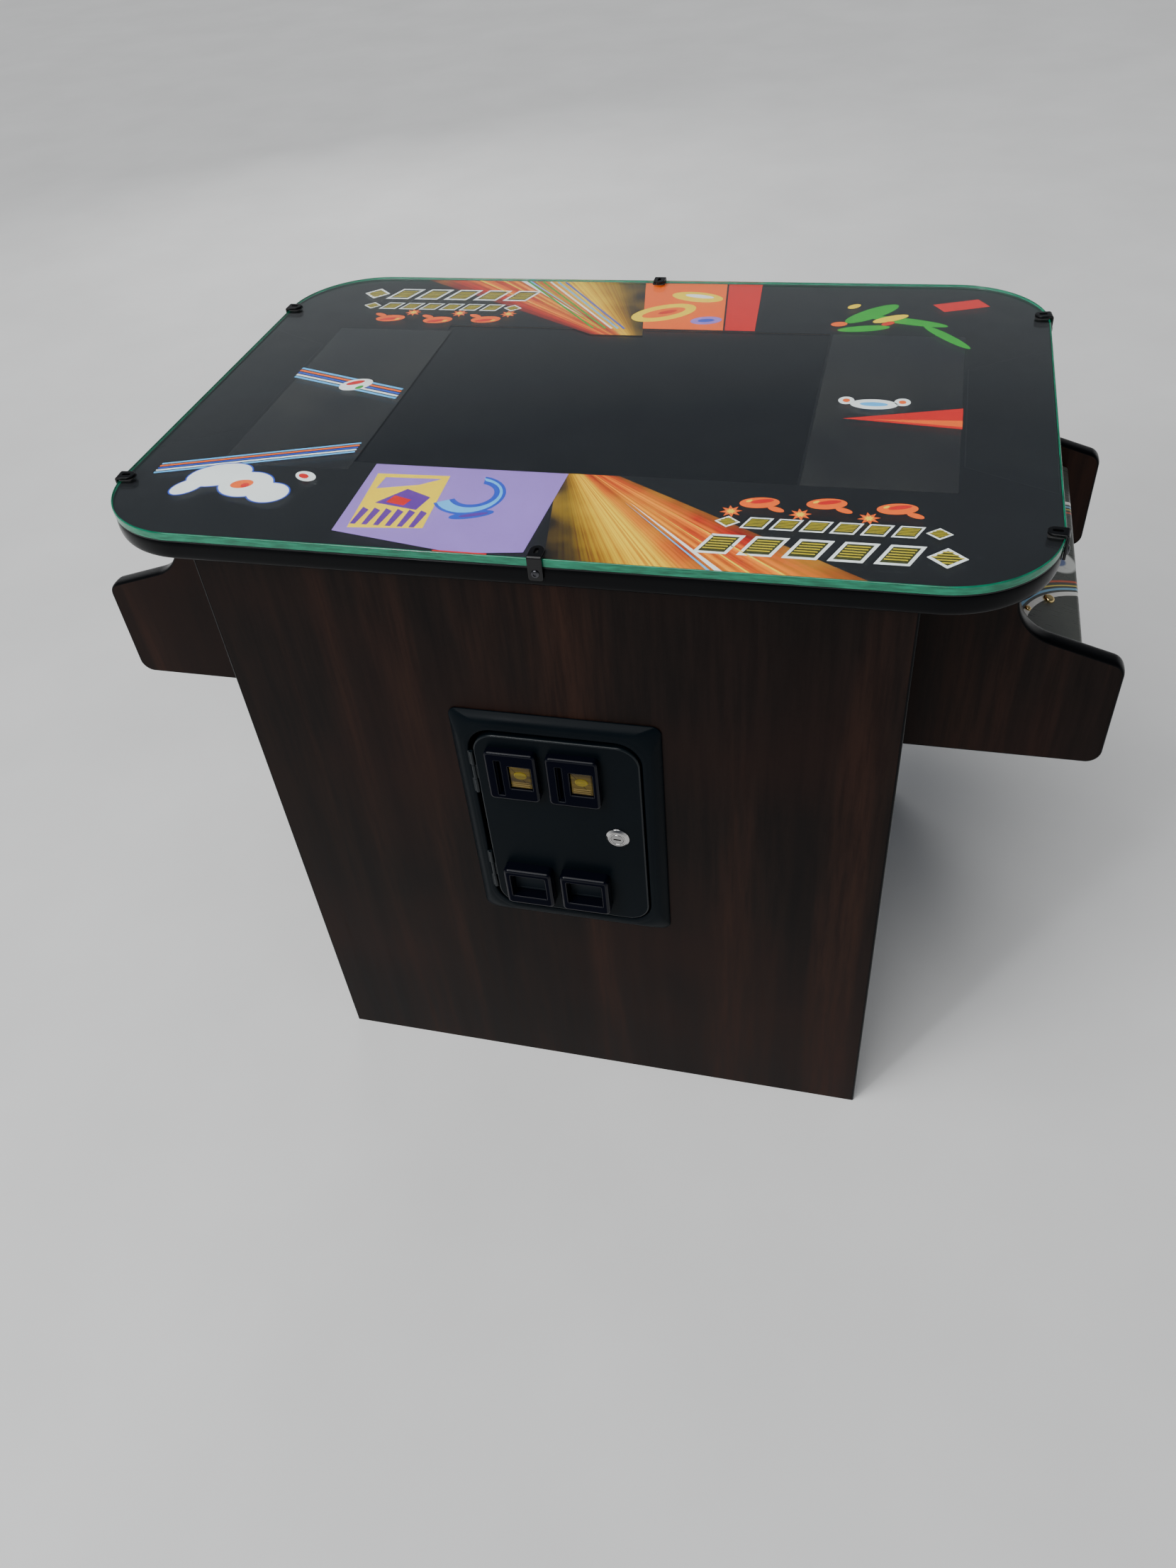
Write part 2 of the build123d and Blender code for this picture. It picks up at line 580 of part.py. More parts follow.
with BuildPart() as top_trim:
    with BuildSketch(Plane.XY.offset(BODY_H)):
        RectangleRounded(TOP_L, TOP_W, TOP_R)
        inner = TOP_TRIM_T
        RectangleRounded(TOP_L - 2 * inner, TOP_W - 2 * inner, TOP_R - inner, mode=Mode.SUBTRACT)
    extrude(amount=BOARD_T)
    rings = edges().filter_by(Plane.XY).filter_by(lambda e: beyond(e, TOP_TRIM_T - 0.1))
    fillet(rings, TOP_TRIM_T - CLEAR)
    with BuildSketch(Plane.XY.offset(BODY_H + (BOARD_T - BARB_W) / 2)):
        deep = TOP_TRIM_T + BARB_D
        RectangleRounded(TOP_L - 2 * inner, TOP_W - 2 * inner, TOP_R - inner)
        RectangleRounded(TOP_L - 2 * deep, TOP_W - 2 * deep, TOP_R - deep, mode=Mode.SUBTRACT)
    extrude(amount=BARB_W)
    for clip in CLIPS:
        with BuildSketch(facing_out(clip, CLIP_SCREW_H, 1)):
            Circle(CLIP_SCREW_R + 0.05)
        extrude(amount=-CLIP_SCREW_L - 2, mode=Mode.SUBTRACT)
top_trim.part.label = "top_trim"
export_step(top_trim.part, "parts/top_trim.step")

with BuildPart() as top_art:
    with BuildSketch(Plane.XY.offset(BOARD_TOP)):
        RectangleRounded(TOP_L - 1, TOP_W - 1, TOP_R - 0.5)
        with Locations(SCREEN_AT):
            Rectangle(SCREEN_L - 1, SCREEN_W - 1, mode=Mode.SUBTRACT)
    extrude(amount=ART_T)
top_art.part.label = "top_art"
export_step(top_art.part, "parts/top_art.step")

with BuildPart() as glass_top:
    with BuildSketch(Plane.XY.offset(BOARD_TOP + ART_T)):
        RectangleRounded(TOP_L, TOP_W, TOP_R)
    extrude(amount=GLASS_T)
    chamfer(edges().filter_by(Plane.XY), 0.8)
glass_top.part.label = "glass_top"
export_step(glass_top.part, "parts/glass_top.step")

with BuildPart() as glass_clips:
    for clip in CLIPS:
        with BuildSketch(clip.offset(PAD_T)):
            with Locations(((CLIP_T - TAB_L + CLIP_W / 2) / 2 + CLEAR / 2, 0)):
                Rectangle(TAB_L + CLIP_T + CLEAR - CLIP_W / 2, CLIP_W)
            with Locations((CLIP_W / 2 - TAB_L, 0)):
                Circle(CLIP_W / 2)
            with Locations((-7, 0)):
                SlotCenterToCenter(5, 3.5, mode=Mode.SUBTRACT)
        extrude(amount=CLIP_T)
        with BuildSketch(facing_out(clip, PAD_T + CLIP_T - LEG_L / 2, CLEAR)):
            Rectangle(CLIP_W, LEG_L)
            with Locations((0, 1 - LEG_L / 4)):
                Circle(2.2, mode=Mode.SUBTRACT)
        extrude(amount=CLIP_T)
glass_clips.part.label = "glass_clips"
export_step(glass_clips.part, "parts/glass_clips.step")

with BuildPart() as clip_screws:
    for clip in CLIPS:
        with BuildSketch(facing_out(clip, CLIP_SCREW_H, CLEAR + CLIP_T)):
            Circle(3.8)
        extrude(amount=1.8, taper=30)
        with BuildSketch(facing_out(clip, CLIP_SCREW_H, CLEAR + CLIP_T)):
            Circle(CLIP_SCREW_R)
        extrude(amount=-CLIP_T - CLIP_SCREW_L)
clip_screws.part.label = "clip_screws"
export_step(clip_screws.part, "parts/clip_screws.step")

with BuildPart() as clip_pads:
    for clip in CLIPS:
        with BuildSketch(clip):
            with Locations((-TAB_L / 2, 0)):
                RectangleRounded(TAB_L - 1, CLIP_W + 1, 3)
        extrude(amount=PAD_T)
clip_pads.part.label = "clip_pads"
export_step(clip_pads.part, "parts/clip_pads.step")

# ---- monitor under the glass ----
SCREEN_T, SCREEN_DROP = 3.0, 0.5
STRAP_W, STRAP_T, STRAP_DX, FOOT_L = 25.0, 2.0, 190.0, 24.0
SCREEN_TOP = BOARD_TOP - SCREEN_DROP

with BuildPart() as monitor_screen:
    with BuildSketch(Plane.XY.offset(SCREEN_TOP - SCREEN_T)):
        with Locations(SCREEN_AT):
            Rectangle(SCREEN_L, SCREEN_W)
    extrude(amount=SCREEN_T)
monitor_screen.part.label = "monitor_screen"
export_step(monitor_screen.part, "parts/monitor_screen.step")

with BuildPart() as monitor_case:
    with BuildSketch(Plane.XY.offset(BODY_H)):
        with Locations(SCREEN_AT):
            Rectangle(SCREEN_L, SCREEN_W)
    extrude(amount=BOARD_T - SCREEN_DROP - SCREEN_T)
    with BuildSketch(Plane.XY.offset(BODY_H)):
        with Locations(SCREEN_AT):
            RectangleRounded(CASE_L, CASE_W, 6)
    extrude(amount=-CASE_H)
    with BuildSketch(Plane.XY.offset(BODY_H - CASE_H)):
        with Locations(SCREEN_AT):
            RectangleRounded(300, 210, 10)
    extrude(amount=-16, taper=20)
    with BuildSketch(Plane.XY.offset(BOARD_TOP)):
        with Locations(SCREEN_AT):
            Rectangle(SCREEN_L - 20, SCREEN_W - 20)
    extrude(amount=-50, mode=Mode.SUBTRACT)
monitor_case.part.label = "monitor_case"
export_step(monitor_case.part, "parts/monitor_case.step")

with BuildPart() as monitor_straps:
    leg_y = CASE_W / 2 + 1
    strap_z = BODY_H - CASE_H - CLEAR
    for sign in (1, -1):
        x = SCREEN_AT[0] + sign * STRAP_DX
        with BuildSketch(Plane.YZ.offset(x - STRAP_W / 2)):
            with Locations((SCREEN_AT[1], strap_z - STRAP_T / 2)):
                Rectangle(2 * (leg_y + STRAP_T), STRAP_T)
            for edge in (1, -1):
                with Locations((SCREEN_AT[1] + edge * (leg_y + STRAP_T / 2), (BODY_H + strap_z) / 2)):
                    Rectangle(STRAP_T, BODY_H - strap_z)
                with Locations((SCREEN_AT[1] + edge * (leg_y + FOOT_L / 2), BODY_H - STRAP_T / 2)):
                    Rectangle(FOOT_L, STRAP_T)
        extrude(amount=STRAP_W)
        with BuildSketch(Plane.XY.offset(BODY_H - 5)):
            for edge in (1, -1):
                with Locations((x, SCREEN_AT[1] + edge * (leg_y + STRAP_T + FOOT_L / 2))):
                    Circle(2.5)
        extrude(amount=5, mode=Mode.SUBTRACT)
monitor_straps.part.label = "monitor_straps"
export_step(monitor_straps.part, "parts/monitor_straps.step")

# ---- lid hinges ----
PIN_R, PIN_CLEAR, KNUCKLE_GAP = 1.5, 0.05, 0.3


def knuckle_spans(first):
    """Start and end along a lid hinge of every second knuckle, from the first one on."""
    spans = []
    for place in range(first, 5, 2):
        start = (place - 2.5) * LID_KNUCKLE_L
        spans.append((start + KNUCKLE_GAP / 2, start + LID_KNUCKLE_L - KNUCKLE_GAP / 2))
    return spans


with BuildPart() as lid_hinges_fixed:
    for hinge_x in LID_HINGE_X:
        knuckle_foot = LID_AXIS_Z - LID_KNUCKLE_R
        with BuildSketch(Plane.YZ.offset(hinge_x - LEAF_W / 2)):
            with Locations((BODY_W / 2 + LEAF_T / 2, knuckle_foot - 0.5 - 19)):
                Rectangle(LEAF_T, 38)
        extrude(amount=LEAF_W)
        for start, end in knuckle_spans(0):
            with BuildSketch(Plane.YZ.offset(hinge_x + start)):
                with Locations((LID_AXIS_Y, LID_AXIS_Z)):
                    Circle(LID_KNUCKLE_R)
                with Locations((BODY_W / 2 + LEAF_T / 2, LID_AXIS_Z - 2.5)):
                    Rectangle(LEAF_T, 5)
            extrude(amount=end - start)
        with BuildSketch(Plane.YZ.offset(hinge_x - LEAF_W / 2 + 1)):
            with Locations((LID_AXIS_Y, LID_AXIS_Z)):
                Circle(PIN_R)
        extrude(amount=LEAF_W - 2)
lid_hinges_fixed.part.label = "lid_hinges_fixed"
export_step(lid_hinges_fixed.part, "parts/lid_hinges_fixed.step")

with BuildPart() as lid_hinges_moving:
    for hinge_x in LID_HINGE_X:
        with BuildSketch(Plane.XY.offset(BODY_H)):
            with Locations((hinge_x, (LEAF_FRONT_Y + LEAF_REAR_Y) / 2)):
                Rectangle(LEAF_W, LEAF_REAR_Y - LEAF_FRONT_Y)
        extrude(amount=LEAF_T)
        for start, end in knuckle_spans(1):
            with BuildSketch(Plane.YZ.offset(hinge_x + start)):
                with Locations((LID_AXIS_Y, LID_AXIS_Z)):
                    Circle(LID_KNUCKLE_R)
                with Locations((LID_AXIS_Y, (LID_AXIS_Z + BODY_H) / 2 + LEAF_T / 2)):
                    Rectangle(2 * LEAF_T, BODY_H - LID_AXIS_Z + LEAF_T)
            extrude(amount=end - start)
            with BuildSketch(Plane.YZ.offset(hinge_x + start)):
                with Locations((LID_AXIS_Y, LID_AXIS_Z)):
                    Circle(PIN_R + PIN_CLEAR)
            extrude(amount=end - start, mode=Mode.SUBTRACT)
lid_hinges_moving.part.label = "lid_hinges_moving"
export_step(lid_hinges_moving.part, "parts/lid_hinges_moving.step")

# ---- coin door ----
HINGE_Y = -BODY_W / 2 - HINGE_D
HINGE_PIN_R = 1.2

DOOR_KNUCKLE_L = HINGE_L / 3 - 0.2  # each hinge has a moving knuckle between two fixed ones
FIXED_SPANS = [(z + k * HINGE_L * 2 / 3 + 0.1, DOOR_KNUCKLE_L) for z in HINGE_Z for k in (0, 1)]
MOVING_SPANS = [(z + HINGE_L / 3 + 0.1, DOOR_KNUCKLE_L) for z in HINGE_Z]

with BuildPart() as coin_frame:
    with BuildSketch(FRONT):
        with Locations((FRAME_X, DOOR_Z)):
            RectangleRounded(FRAME_W, FRAME_H, 9)
    extrude(amount=1.5)
    with BuildSketch(FRONT.offset(1.5)):
        with Locations((FRAME_X, DOOR_Z)):
            RectangleRounded(FRAME_W, FRAME_H, 9)
    with BuildSketch(FRONT.offset(RIM_D)):
        with Locations((FRAME_X, DOOR_Z)):
            RectangleRounded(MOUTH_W + 9, MOUTH_H + 9, MOUTH_R + 2)
    loft()
    with BuildSketch(FRONT.offset(1)):
        with Locations((FRAME_X, DOOR_Z)):
            RectangleRounded(MOUTH_W + 2 * SLEEVE_T, MOUTH_H + 2 * SLEEVE_T, MOUTH_R + SLEEVE_T)
    extrude(amount=-PANEL_T)
    with BuildSketch(FRONT.offset(RIM_D)):
        with Locations((FRAME_X, DOOR_Z)):
            RectangleRounded(MOUTH_W, MOUTH_H, MOUTH_R)
    extrude(amount=-2 * PANEL_T, mode=Mode.SUBTRACT)
    for foot, length in FIXED_SPANS:
        with BuildSketch(Plane.XY.offset(foot)):
            with Locations((HINGE_X - 2.4, HINGE_Y + 1)):
                Rectangle(4.8, 2)
            with Locations((HINGE_X, HINGE_Y)):
                Circle(KNUCKLE_R)
        extrude(amount=length)
    for foot in HINGE_Z:
        with BuildSketch(Plane.XY.offset(foot + 1)):
            with Locations((HINGE_X, HINGE_Y)):
                Circle(HINGE_PIN_R)
        extrude(amount=HINGE_L - 2)
coin_frame.part.label = "coin_frame"
export_step(coin_frame.part, "parts/coin_frame.step")

with BuildPart() as coin_door:
    with BuildSketch(FRONT):
        with Locations((DOOR_X, DOOR_Z)):
            RectangleRounded(DOOR_W, DOOR_H, DOOR_R)
    extrude(amount=DOOR_D)
    fillet(faces().sort_by(Axis.Y)[0].edges(), 1.6)
    with BuildSketch(FRONT):
        with Locations((DOOR_X, DOOR_Z)):
            RectangleRounded(DOOR_W - 2 * SHEET_T, DOOR_H - 2 * SHEET_T, DOOR_R - SHEET_T)
    extrude(amount=DOOR_D - SHEET_T, mode=Mode.SUBTRACT)
    with BuildSketch(FRONT):
        for x in COIN_X.values():
            with Locations((x, ENTRY_Z)):
                Rectangle(42, 48)
            with Locations((x, CUP_Z)):
                Rectangle(43, 45)
        with Locations((LOCK_X, LOCK_Z)):
            Circle(LOCK_R + 0.2)
    extrude(amount=DOOR_D + 1, mode=Mode.SUBTRACT)
    for foot, length in MOVING_SPANS:
        with BuildSketch(Plane.XY.offset(foot)):
            with Locations((HINGE_X + 2.2, HINGE_Y)):
                Rectangle(4.4, 1.6)
            with Locations((HINGE_X, HINGE_Y)):
                Circle(KNUCKLE_R)
                Circle(HINGE_PIN_R + PIN_CLEAR, mode=Mode.SUBTRACT)
        extrude(amount=length)
        with BuildSketch(Plane.XY.offset(foot)):
            with Locations((HINGE_X, HINGE_Y)):
                Circle(HINGE_PIN_R + PIN_CLEAR)
        extrude(amount=length, mode=Mode.SUBTRACT)
coin_door.part.label = "coin_door"
export_step(coin_door.part, "parts/coin_door.step")

with BuildPart() as coin_entries:
    for x in COIN_X.values():
        with BuildSketch(FRONT.offset(DOOR_D)):
            with Locations((x, ENTRY_Z)):
                RectangleRounded(ENTRY_W, ENTRY_H, 4)
        extrude(amount=ENTRY_T)
    fillet(faces().group_by(Axis.Y)[0].edges(), 2.5)
    with BuildSketch(FRONT.offset(DOOR_D)):
        for x in COIN_X.values():
            with Locations((x - 12.7, ENTRY_Z - 2)):
                Rectangle(3, 42)
            with Locations((x + REJECT_DX, ENTRY_Z)):
                Rectangle(REJECT_W, REJECT_H)
    extrude(amount=ENTRY_T, mode=Mode.SUBTRACT)
coin_entries.part.label = "coin_entries"
export_step(coin_entries.part, "parts/coin_entries.step")

REJECT_D = DOOR_D + ENTRY_T - 0.6  # face of a reject button at rest
for side, x in COIN_X.items():
    with BuildPart() as reject_button:
        with BuildSketch(FRONT.offset(5)):
            with Locations((x + REJECT_DX, ENTRY_Z)):
                Rectangle(REJECT_W - 0.8, REJECT_H - 0.8)
        extrude(amount=REJECT_D - 5)
        chamfer(faces().sort_by(Axis.Y)[0].edges(), 1)
        with BuildSketch(FRONT.offset(9.8)):
            with Locations((x + REJECT_DX - 2, ENTRY_Z)):
                Rectangle(REJECT_W - 1, REJECT_H + 4)
        extrude(amount=1.9)
    reject_button.part.label = f"reject_button_{side}"
    export_step(reject_button.part, f"parts/reject_button_{side}.step")

CUP_BACK, CUP_WALL = -22.0, 2.0
with BuildPart() as coin_cups:
    for x in COIN_X.values():
        with BuildSketch(FRONT.offset(DOOR_D)):
            with Locations((x, CUP_Z)):
                RectangleRounded(CUP_W, CUP_H, 4)
        extrude(amount=CUP_T)
    fillet(faces().group_by(Axis.Y)[0].edges(), 3)
    for x in COIN_X.values():
        with BuildSketch(FRONT.offset(DOOR_D)):
            with Locations((x, CUP_Z + 2)):
                Rectangle(42, 43 - 2)
        extrude(amount=CUP_BACK - DOOR_D)
        with BuildSketch(FRONT.offset(CUP_BACK + CUP_WALL)):
            with Locations((x, CUP_Z + 2)):
                Rectangle(38, 39 - 2)
        extrude(amount=DOOR_D + 4 - CUP_BACK - CUP_WALL, mode=Mode.SUBTRACT)
        with BuildSketch(FRONT.offset(DOOR_D)):
            with Locations((x, CUP_Z + 2.5)):
                Rectangle(37, 31)
        extrude(amount=CUP_T, mode=Mode.SUBTRACT)
        with BuildSketch(Plane.XY.offset(CUP_Z + 20)):
            with Locations((x, -BODY_W / 2 + 12)):
                Rectangle(30, 16)
        extrude(amount=6, mode=Mode.SUBTRACT)
        with BuildSketch(Plane.YZ.offset(x - 21.5)):
            with Locations((-BODY_W / 2 - FLAP_D, FLAP_Z - 0.5)):
                Circle(1.25)
        extrude(amount=43, mode=Mode.SUBTRACT)
coin_cups.part.label = "coin_cups"
export_step(coin_cups.part, "parts/coin_cups.step")

for side, x in COIN_X.items():
    with BuildPart() as return_flap:
        with BuildSketch(FRONT.offset(FLAP_D - 0.8)):
            with Locations((x, FLAP_Z - 16)):
                Rectangle(36.6, 33.6)
        extrude(amount=1.6)
        with BuildSketch(Plane.YZ.offset(x - 20.8)):
            with Locations((-BODY_W / 2 - FLAP_D, FLAP_Z - 0.5)):
                Circle(1.2)
        extrude(amount=41.6)
    return_flap.part.label = f"return_flap_{side}"
    export_step(return_flap.part, f"parts/return_flap_{side}.step")

with BuildPart() as coin_mechs:
    for x in COIN_X.values():
        with BuildSketch(FRONT.offset(-54)):
            with Locations((x, 458)):
                Rectangle(44, 132)
        extrude(amount=54)
        with BuildSketch(FRONT.offset(-48)):
            for edge in (1, -1):
                with Locations((x + edge * 22, 470)):
                    Rectangle(12, 84)
        extrude(amount=38, mode=Mode.SUBTRACT)
        with BuildSketch(FRONT):
            with Locations((x, 396), (x, 520.5)):
                with GridLocations(36, 1, 2, 1):
                    Rectangle(6, 5)
        extrude(amount=DOOR_D - SHEET_T)
        with BuildSketch(FRONT):
            with Locations((x - 12.7, ENTRY_Z - 2)):
                Rectangle(4, 44)
        extrude(amount=-20, mode=Mode.SUBTRACT)
        with BuildSketch(Plane.XY.offset(CUP_Z + 26)):
            with Locations((x, -BODY_W / 2 + 12)):
                Rectangle(26, 14)
                Rectangle(22, 10, mode=Mode.SUBTRACT)
        extrude(amount=392 - CUP_Z - 26)
coin_mechs.part.label = "coin_mechs"
export_step(coin_mechs.part, "parts/coin_mechs.step")

BARREL_BACK = -18.5
RIM_R, RIM_H, LOCK_NUT_R, LOCK_NUT_T = 12.0, 3.0, 13.0, 4.5
with BuildPart() as lock_body:
    with BuildSketch(FRONT.offset(BARREL_BACK)):
        with Locations((LOCK_X, LOCK_Z)):
            Circle(LOCK_R)
    extrude(amount=DOOR_D - BARREL_BACK)
    with BuildSketch(FRONT.offset(DOOR_D)):
        with Locations((LOCK_X, LOCK_Z)):
            Circle(RIM_R)
    extrude(amount=RIM_H)
    fillet(faces().sort_by(Axis.Y)[0].edges(), RIM_H / 2)
    with BuildSketch(FRONT.offset(5.5)):
        with Locations((LOCK_X, LOCK_Z)):
            RegularPolygon(LOCK_NUT_R, 6)
    extrude(amount=LOCK_NUT_T)
    with BuildSketch(FRONT.offset(BARREL_BACK - 1)):
        with Locations((LOCK_X, LOCK_Z)):
            Circle(PLUG_R + PIN_CLEAR)
    extrude(amount=40, mode=Mode.SUBTRACT)
lock_body.part.label = "lock_body"
export_step(lock_body.part, "parts/lock_body.step")

CAM_L, CAM_W = 45.0, 16.0
KEYWAY_L, KEYWAY_W, KEYWAY_D = 7.5, 1.6, 8.0
with BuildPart() as lock_plug:
    with BuildSketch(FRONT.offset(BARREL_BACK - 0.4)):
        with Locations((LOCK_X, LOCK_Z)):
            Circle(PLUG_R)
    extrude(amount=DOOR_D + 3.4 - BARREL_BACK)
    chamfer(faces().sort_by(Axis.Y)[0].edges(), 0.5)
    with BuildSketch(FRONT.offset(DOOR_D + 3)):
        with Locations((LOCK_X, LOCK_Z)):
            Rectangle(KEYWAY_L, KEYWAY_W)
    extrude(amount=-KEYWAY_D, mode=Mode.SUBTRACT)
    with BuildSketch(FRONT.offset(BARREL_BACK - 0.4)):
        with Locations((LOCK_X, LOCK_Z)):
            Circle(CAM_W / 2)
        with Locations((LOCK_X, LOCK_Z - CAM_L / 2)):
            Rectangle(CAM_W, CAM_L)
    extrude(amount=-2)
    with BuildSketch(FRONT.offset(BARREL_BACK - 2.4)):
        with Locations((LOCK_X, LOCK_Z)):
            RegularPolygon(6, 6)
    extrude(amount=-4)
lock_plug.part.label = "lock_plug"
export_step(lock_plug.part, "parts/lock_plug.step")

# ---- inside the cabinet ----
BASE_TOP = BASE_Z + PANEL_T
with BuildPart() as cash_box:
    with BuildSketch(Plane.XY.offset(BASE_TOP)):
        with Locations((FRAME_X, -180)):
            RectangleRounded(190, 150, 6)
    extrude(amount=100)
    with BuildSketch(Plane.XY.offset(BASE_TOP + 2)):
        with Locations((FRAME_X, -180)):
            RectangleRounded(186, 146, 4)
    extrude(amount=98, mode=Mode.SUBTRACT)
cash_box.part.label = "cash_box"
export_step(cash_box.part, "parts/cash_box.step")

with BuildPart() as power_supply:
    with BuildSketch(Plane.XY.offset(BASE_TOP)):
        with Locations((150, 130)):
            RectangleRounded(160, 98, 3)
    extrude(amount=42)
    with BuildSketch(Plane.XY.offset(BASE_TOP + 42)):
        with Locations((140, 130)):
            with GridLocations(12, 1, 9, 1):
                SlotOverall(60, 4, rotation=90)
    extrude(amount=-2, mode=Mode.SUBTRACT)
    with BuildSketch(Plane.XY.offset(BASE_TOP + 16)):
        with Locations((224, 130)):
            Rectangle(14, 80)
    extrude(amount=30, mode=Mode.SUBTRACT)
    with BuildSketch(Plane.XY.offset(BASE_TOP + 16)):
        with Locations((223, 130)):
            with GridLocations(1, 9.5, 1, 8):
                Rectangle(9, 7)
    extrude(amount=12)
power_supply.part.label = "power_supply"
export_step(power_supply.part, "parts/power_supply.step")

with BuildPart() as game_board:
    with BuildSketch(Plane.XY.offset(BASE_TOP + 12)):
        with Locations((-150, 110)):
            RectangleRounded(220, 160, 3)
    extrude(amount=1.6)
    with BuildSketch(Plane.XY.offset(BASE_TOP)):
        with Locations((-150, 110)):
            with GridLocations(206, 146, 2, 2):
                Circle(3.5)
    extrude(amount=12)
    with BuildSketch(Plane.XY.offset(BASE_TOP + 13.6)):
        with Locations((-175, 110)):
            with GridLocations(26, 40, 5, 3):
                Rectangle(9, 32)
        with Locations((-85, 140)):
            Rectangle(38, 38)
    extrude(amount=3.4)
    with BuildSketch(Plane.XY.offset(BASE_TOP + 13.6)):
        with Locations((-150, 183)):
            Rectangle(140, 9)
    extrude(amount=12)
game_board.part.label = "game_board"
export_step(game_board.part, "parts/game_board.step")

INSIDE_REAR = REAR.offset(-PANEL_T)
with BuildPart() as speaker:
    with BuildSketch(INSIDE_REAR):
        with Locations((SPEAKER_X, SPEAKER_Z)):
            Circle(52)
            with PolarLocations(48.5, 4, 45):
                Circle(2, mode=Mode.SUBTRACT)
    extrude(amount=-3)
    with BuildSketch(INSIDE_REAR.offset(-3)):
        with Locations((SPEAKER_X, SPEAKER_Z)):
            Circle(44)
    extrude(amount=-22, taper=42)
    with BuildSketch(INSIDE_REAR.offset(-25)):
        with Locations((SPEAKER_X, SPEAKER_Z)):
            Circle(29)
    extrude(amount=-14)
    with BuildSketch(INSIDE_REAR):
        with Locations((SPEAKER_X, SPEAKER_Z)):
            Circle(42)
    extrude(amount=-18, taper=50, mode=Mode.SUBTRACT)
speaker.part.label = "speaker"
export_step(speaker.part, "parts/speaker.step")

SOCKET_DZ, ROCKER_DZ = -9.0, 13.5
with BuildPart() as mains_inlet:
    with BuildSketch(REAR):
        with Locations((INLET_X, INLET_Z)):
            RectangleRounded(50, 58, 3)
            with GridLocations(40, 1, 2, 1):
                Circle(1.7, mode=Mode.SUBTRACT)
    extrude(amount=3)
    with BuildSketch(REAR):
        with Locations((INLET_X, INLET_Z)):
            Rectangle(27.4, 47.4)
    extrude(amount=-28)
    with BuildSketch(REAR.offset(3)):
        with Locations((INLET_X, INLET_Z + SOCKET_DZ)):
            RectangleRounded(24, 16.5, 2)
    extrude(amount=-18, mode=Mode.SUBTRACT)
    with BuildSketch(REAR.offset(-15)):
        with Locations((INLET_X, INLET_Z + SOCKET_DZ - 2)):
            with GridLocations(14, 1, 2, 1):
                Rectangle(2, 4)
        with Locations((INLET_X, INLET_Z + SOCKET_DZ + 2.5)):
            Rectangle(2, 4)
    extrude(amount=12)
    with BuildSketch(REAR.offset(3)):
        with Locations((INLET_X, INLET_Z + ROCKER_DZ)):
            Rectangle(19.4, 15)
    extrude(amount=-15, mode=Mode.SUBTRACT)
    with BuildSketch(Plane.YZ.offset(-INLET_X - 11.2)):
        with Locations((BODY_W / 2 - 1, INLET_Z + ROCKER_DZ)):
            Circle(1.05)
    extrude(amount=22.4, mode=Mode.SUBTRACT)
mains_inlet.part.label = "mains_inlet"
export_step(mains_inlet.part, "parts/mains_inlet.step")

tilted_out = (0, cos(radians(ROCKER_TILT)), sin(radians(ROCKER_TILT)))
pivot = Plane(origin=(-INLET_X, BODY_W / 2 - 1, INLET_Z + ROCKER_DZ), x_dir=tilted_out, z_dir=(1, 0, 0))
with BuildPart() as rocker_switch:
    with BuildSketch(pivot.offset(-9.3)):
        with BuildLine():
            Polyline((4.5, -6.3), (-3.5, -4.5), (-3.5, 4.5), (4.5, 6.3))
            ThreePointArc((4.5, 6.3), (2.6, 0), (4.5, -6.3))
        make_face()
        Circle(2.2)
    extrude(amount=18.6)
    with BuildSketch(pivot.offset(-11)):
        Circle(1)
    extrude(amount=22)
rocker_switch.part.label = "rocker_switch"
export_step(rocker_switch.part, "parts/rocker_switch.step")
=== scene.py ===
import json
import math

import bmesh
import bpy
from mathutils import Matrix, Vector


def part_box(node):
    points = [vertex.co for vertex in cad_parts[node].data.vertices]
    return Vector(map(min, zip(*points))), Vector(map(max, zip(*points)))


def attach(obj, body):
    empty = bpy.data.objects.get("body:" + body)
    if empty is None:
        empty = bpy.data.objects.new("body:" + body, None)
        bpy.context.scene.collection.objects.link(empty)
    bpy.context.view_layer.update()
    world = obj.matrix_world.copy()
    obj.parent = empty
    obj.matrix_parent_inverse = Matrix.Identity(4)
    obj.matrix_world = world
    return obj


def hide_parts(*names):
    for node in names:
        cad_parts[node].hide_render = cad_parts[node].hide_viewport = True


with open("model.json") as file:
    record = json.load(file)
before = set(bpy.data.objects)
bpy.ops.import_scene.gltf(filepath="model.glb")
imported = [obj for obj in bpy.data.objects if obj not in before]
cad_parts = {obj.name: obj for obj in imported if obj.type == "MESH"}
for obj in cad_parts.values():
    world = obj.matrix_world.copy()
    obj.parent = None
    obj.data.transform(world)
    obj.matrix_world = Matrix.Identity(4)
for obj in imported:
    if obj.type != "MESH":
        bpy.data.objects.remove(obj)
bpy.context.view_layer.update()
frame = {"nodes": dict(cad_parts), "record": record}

NODES = frame["nodes"]
MM = 0.001

# ---- camera: the view that the photograph has ----
CAMERA_AT = Vector((0.2892, -1.0717, 1.2696))
HEADING, PITCH, ROLL = math.radians(18.02), math.radians(46.52), math.radians(-6.22)
LENS = 27.27


def new_object(name, data):
    thing = bpy.data.objects.new(name, data)
    bpy.context.scene.collection.objects.link(thing)
    return thing


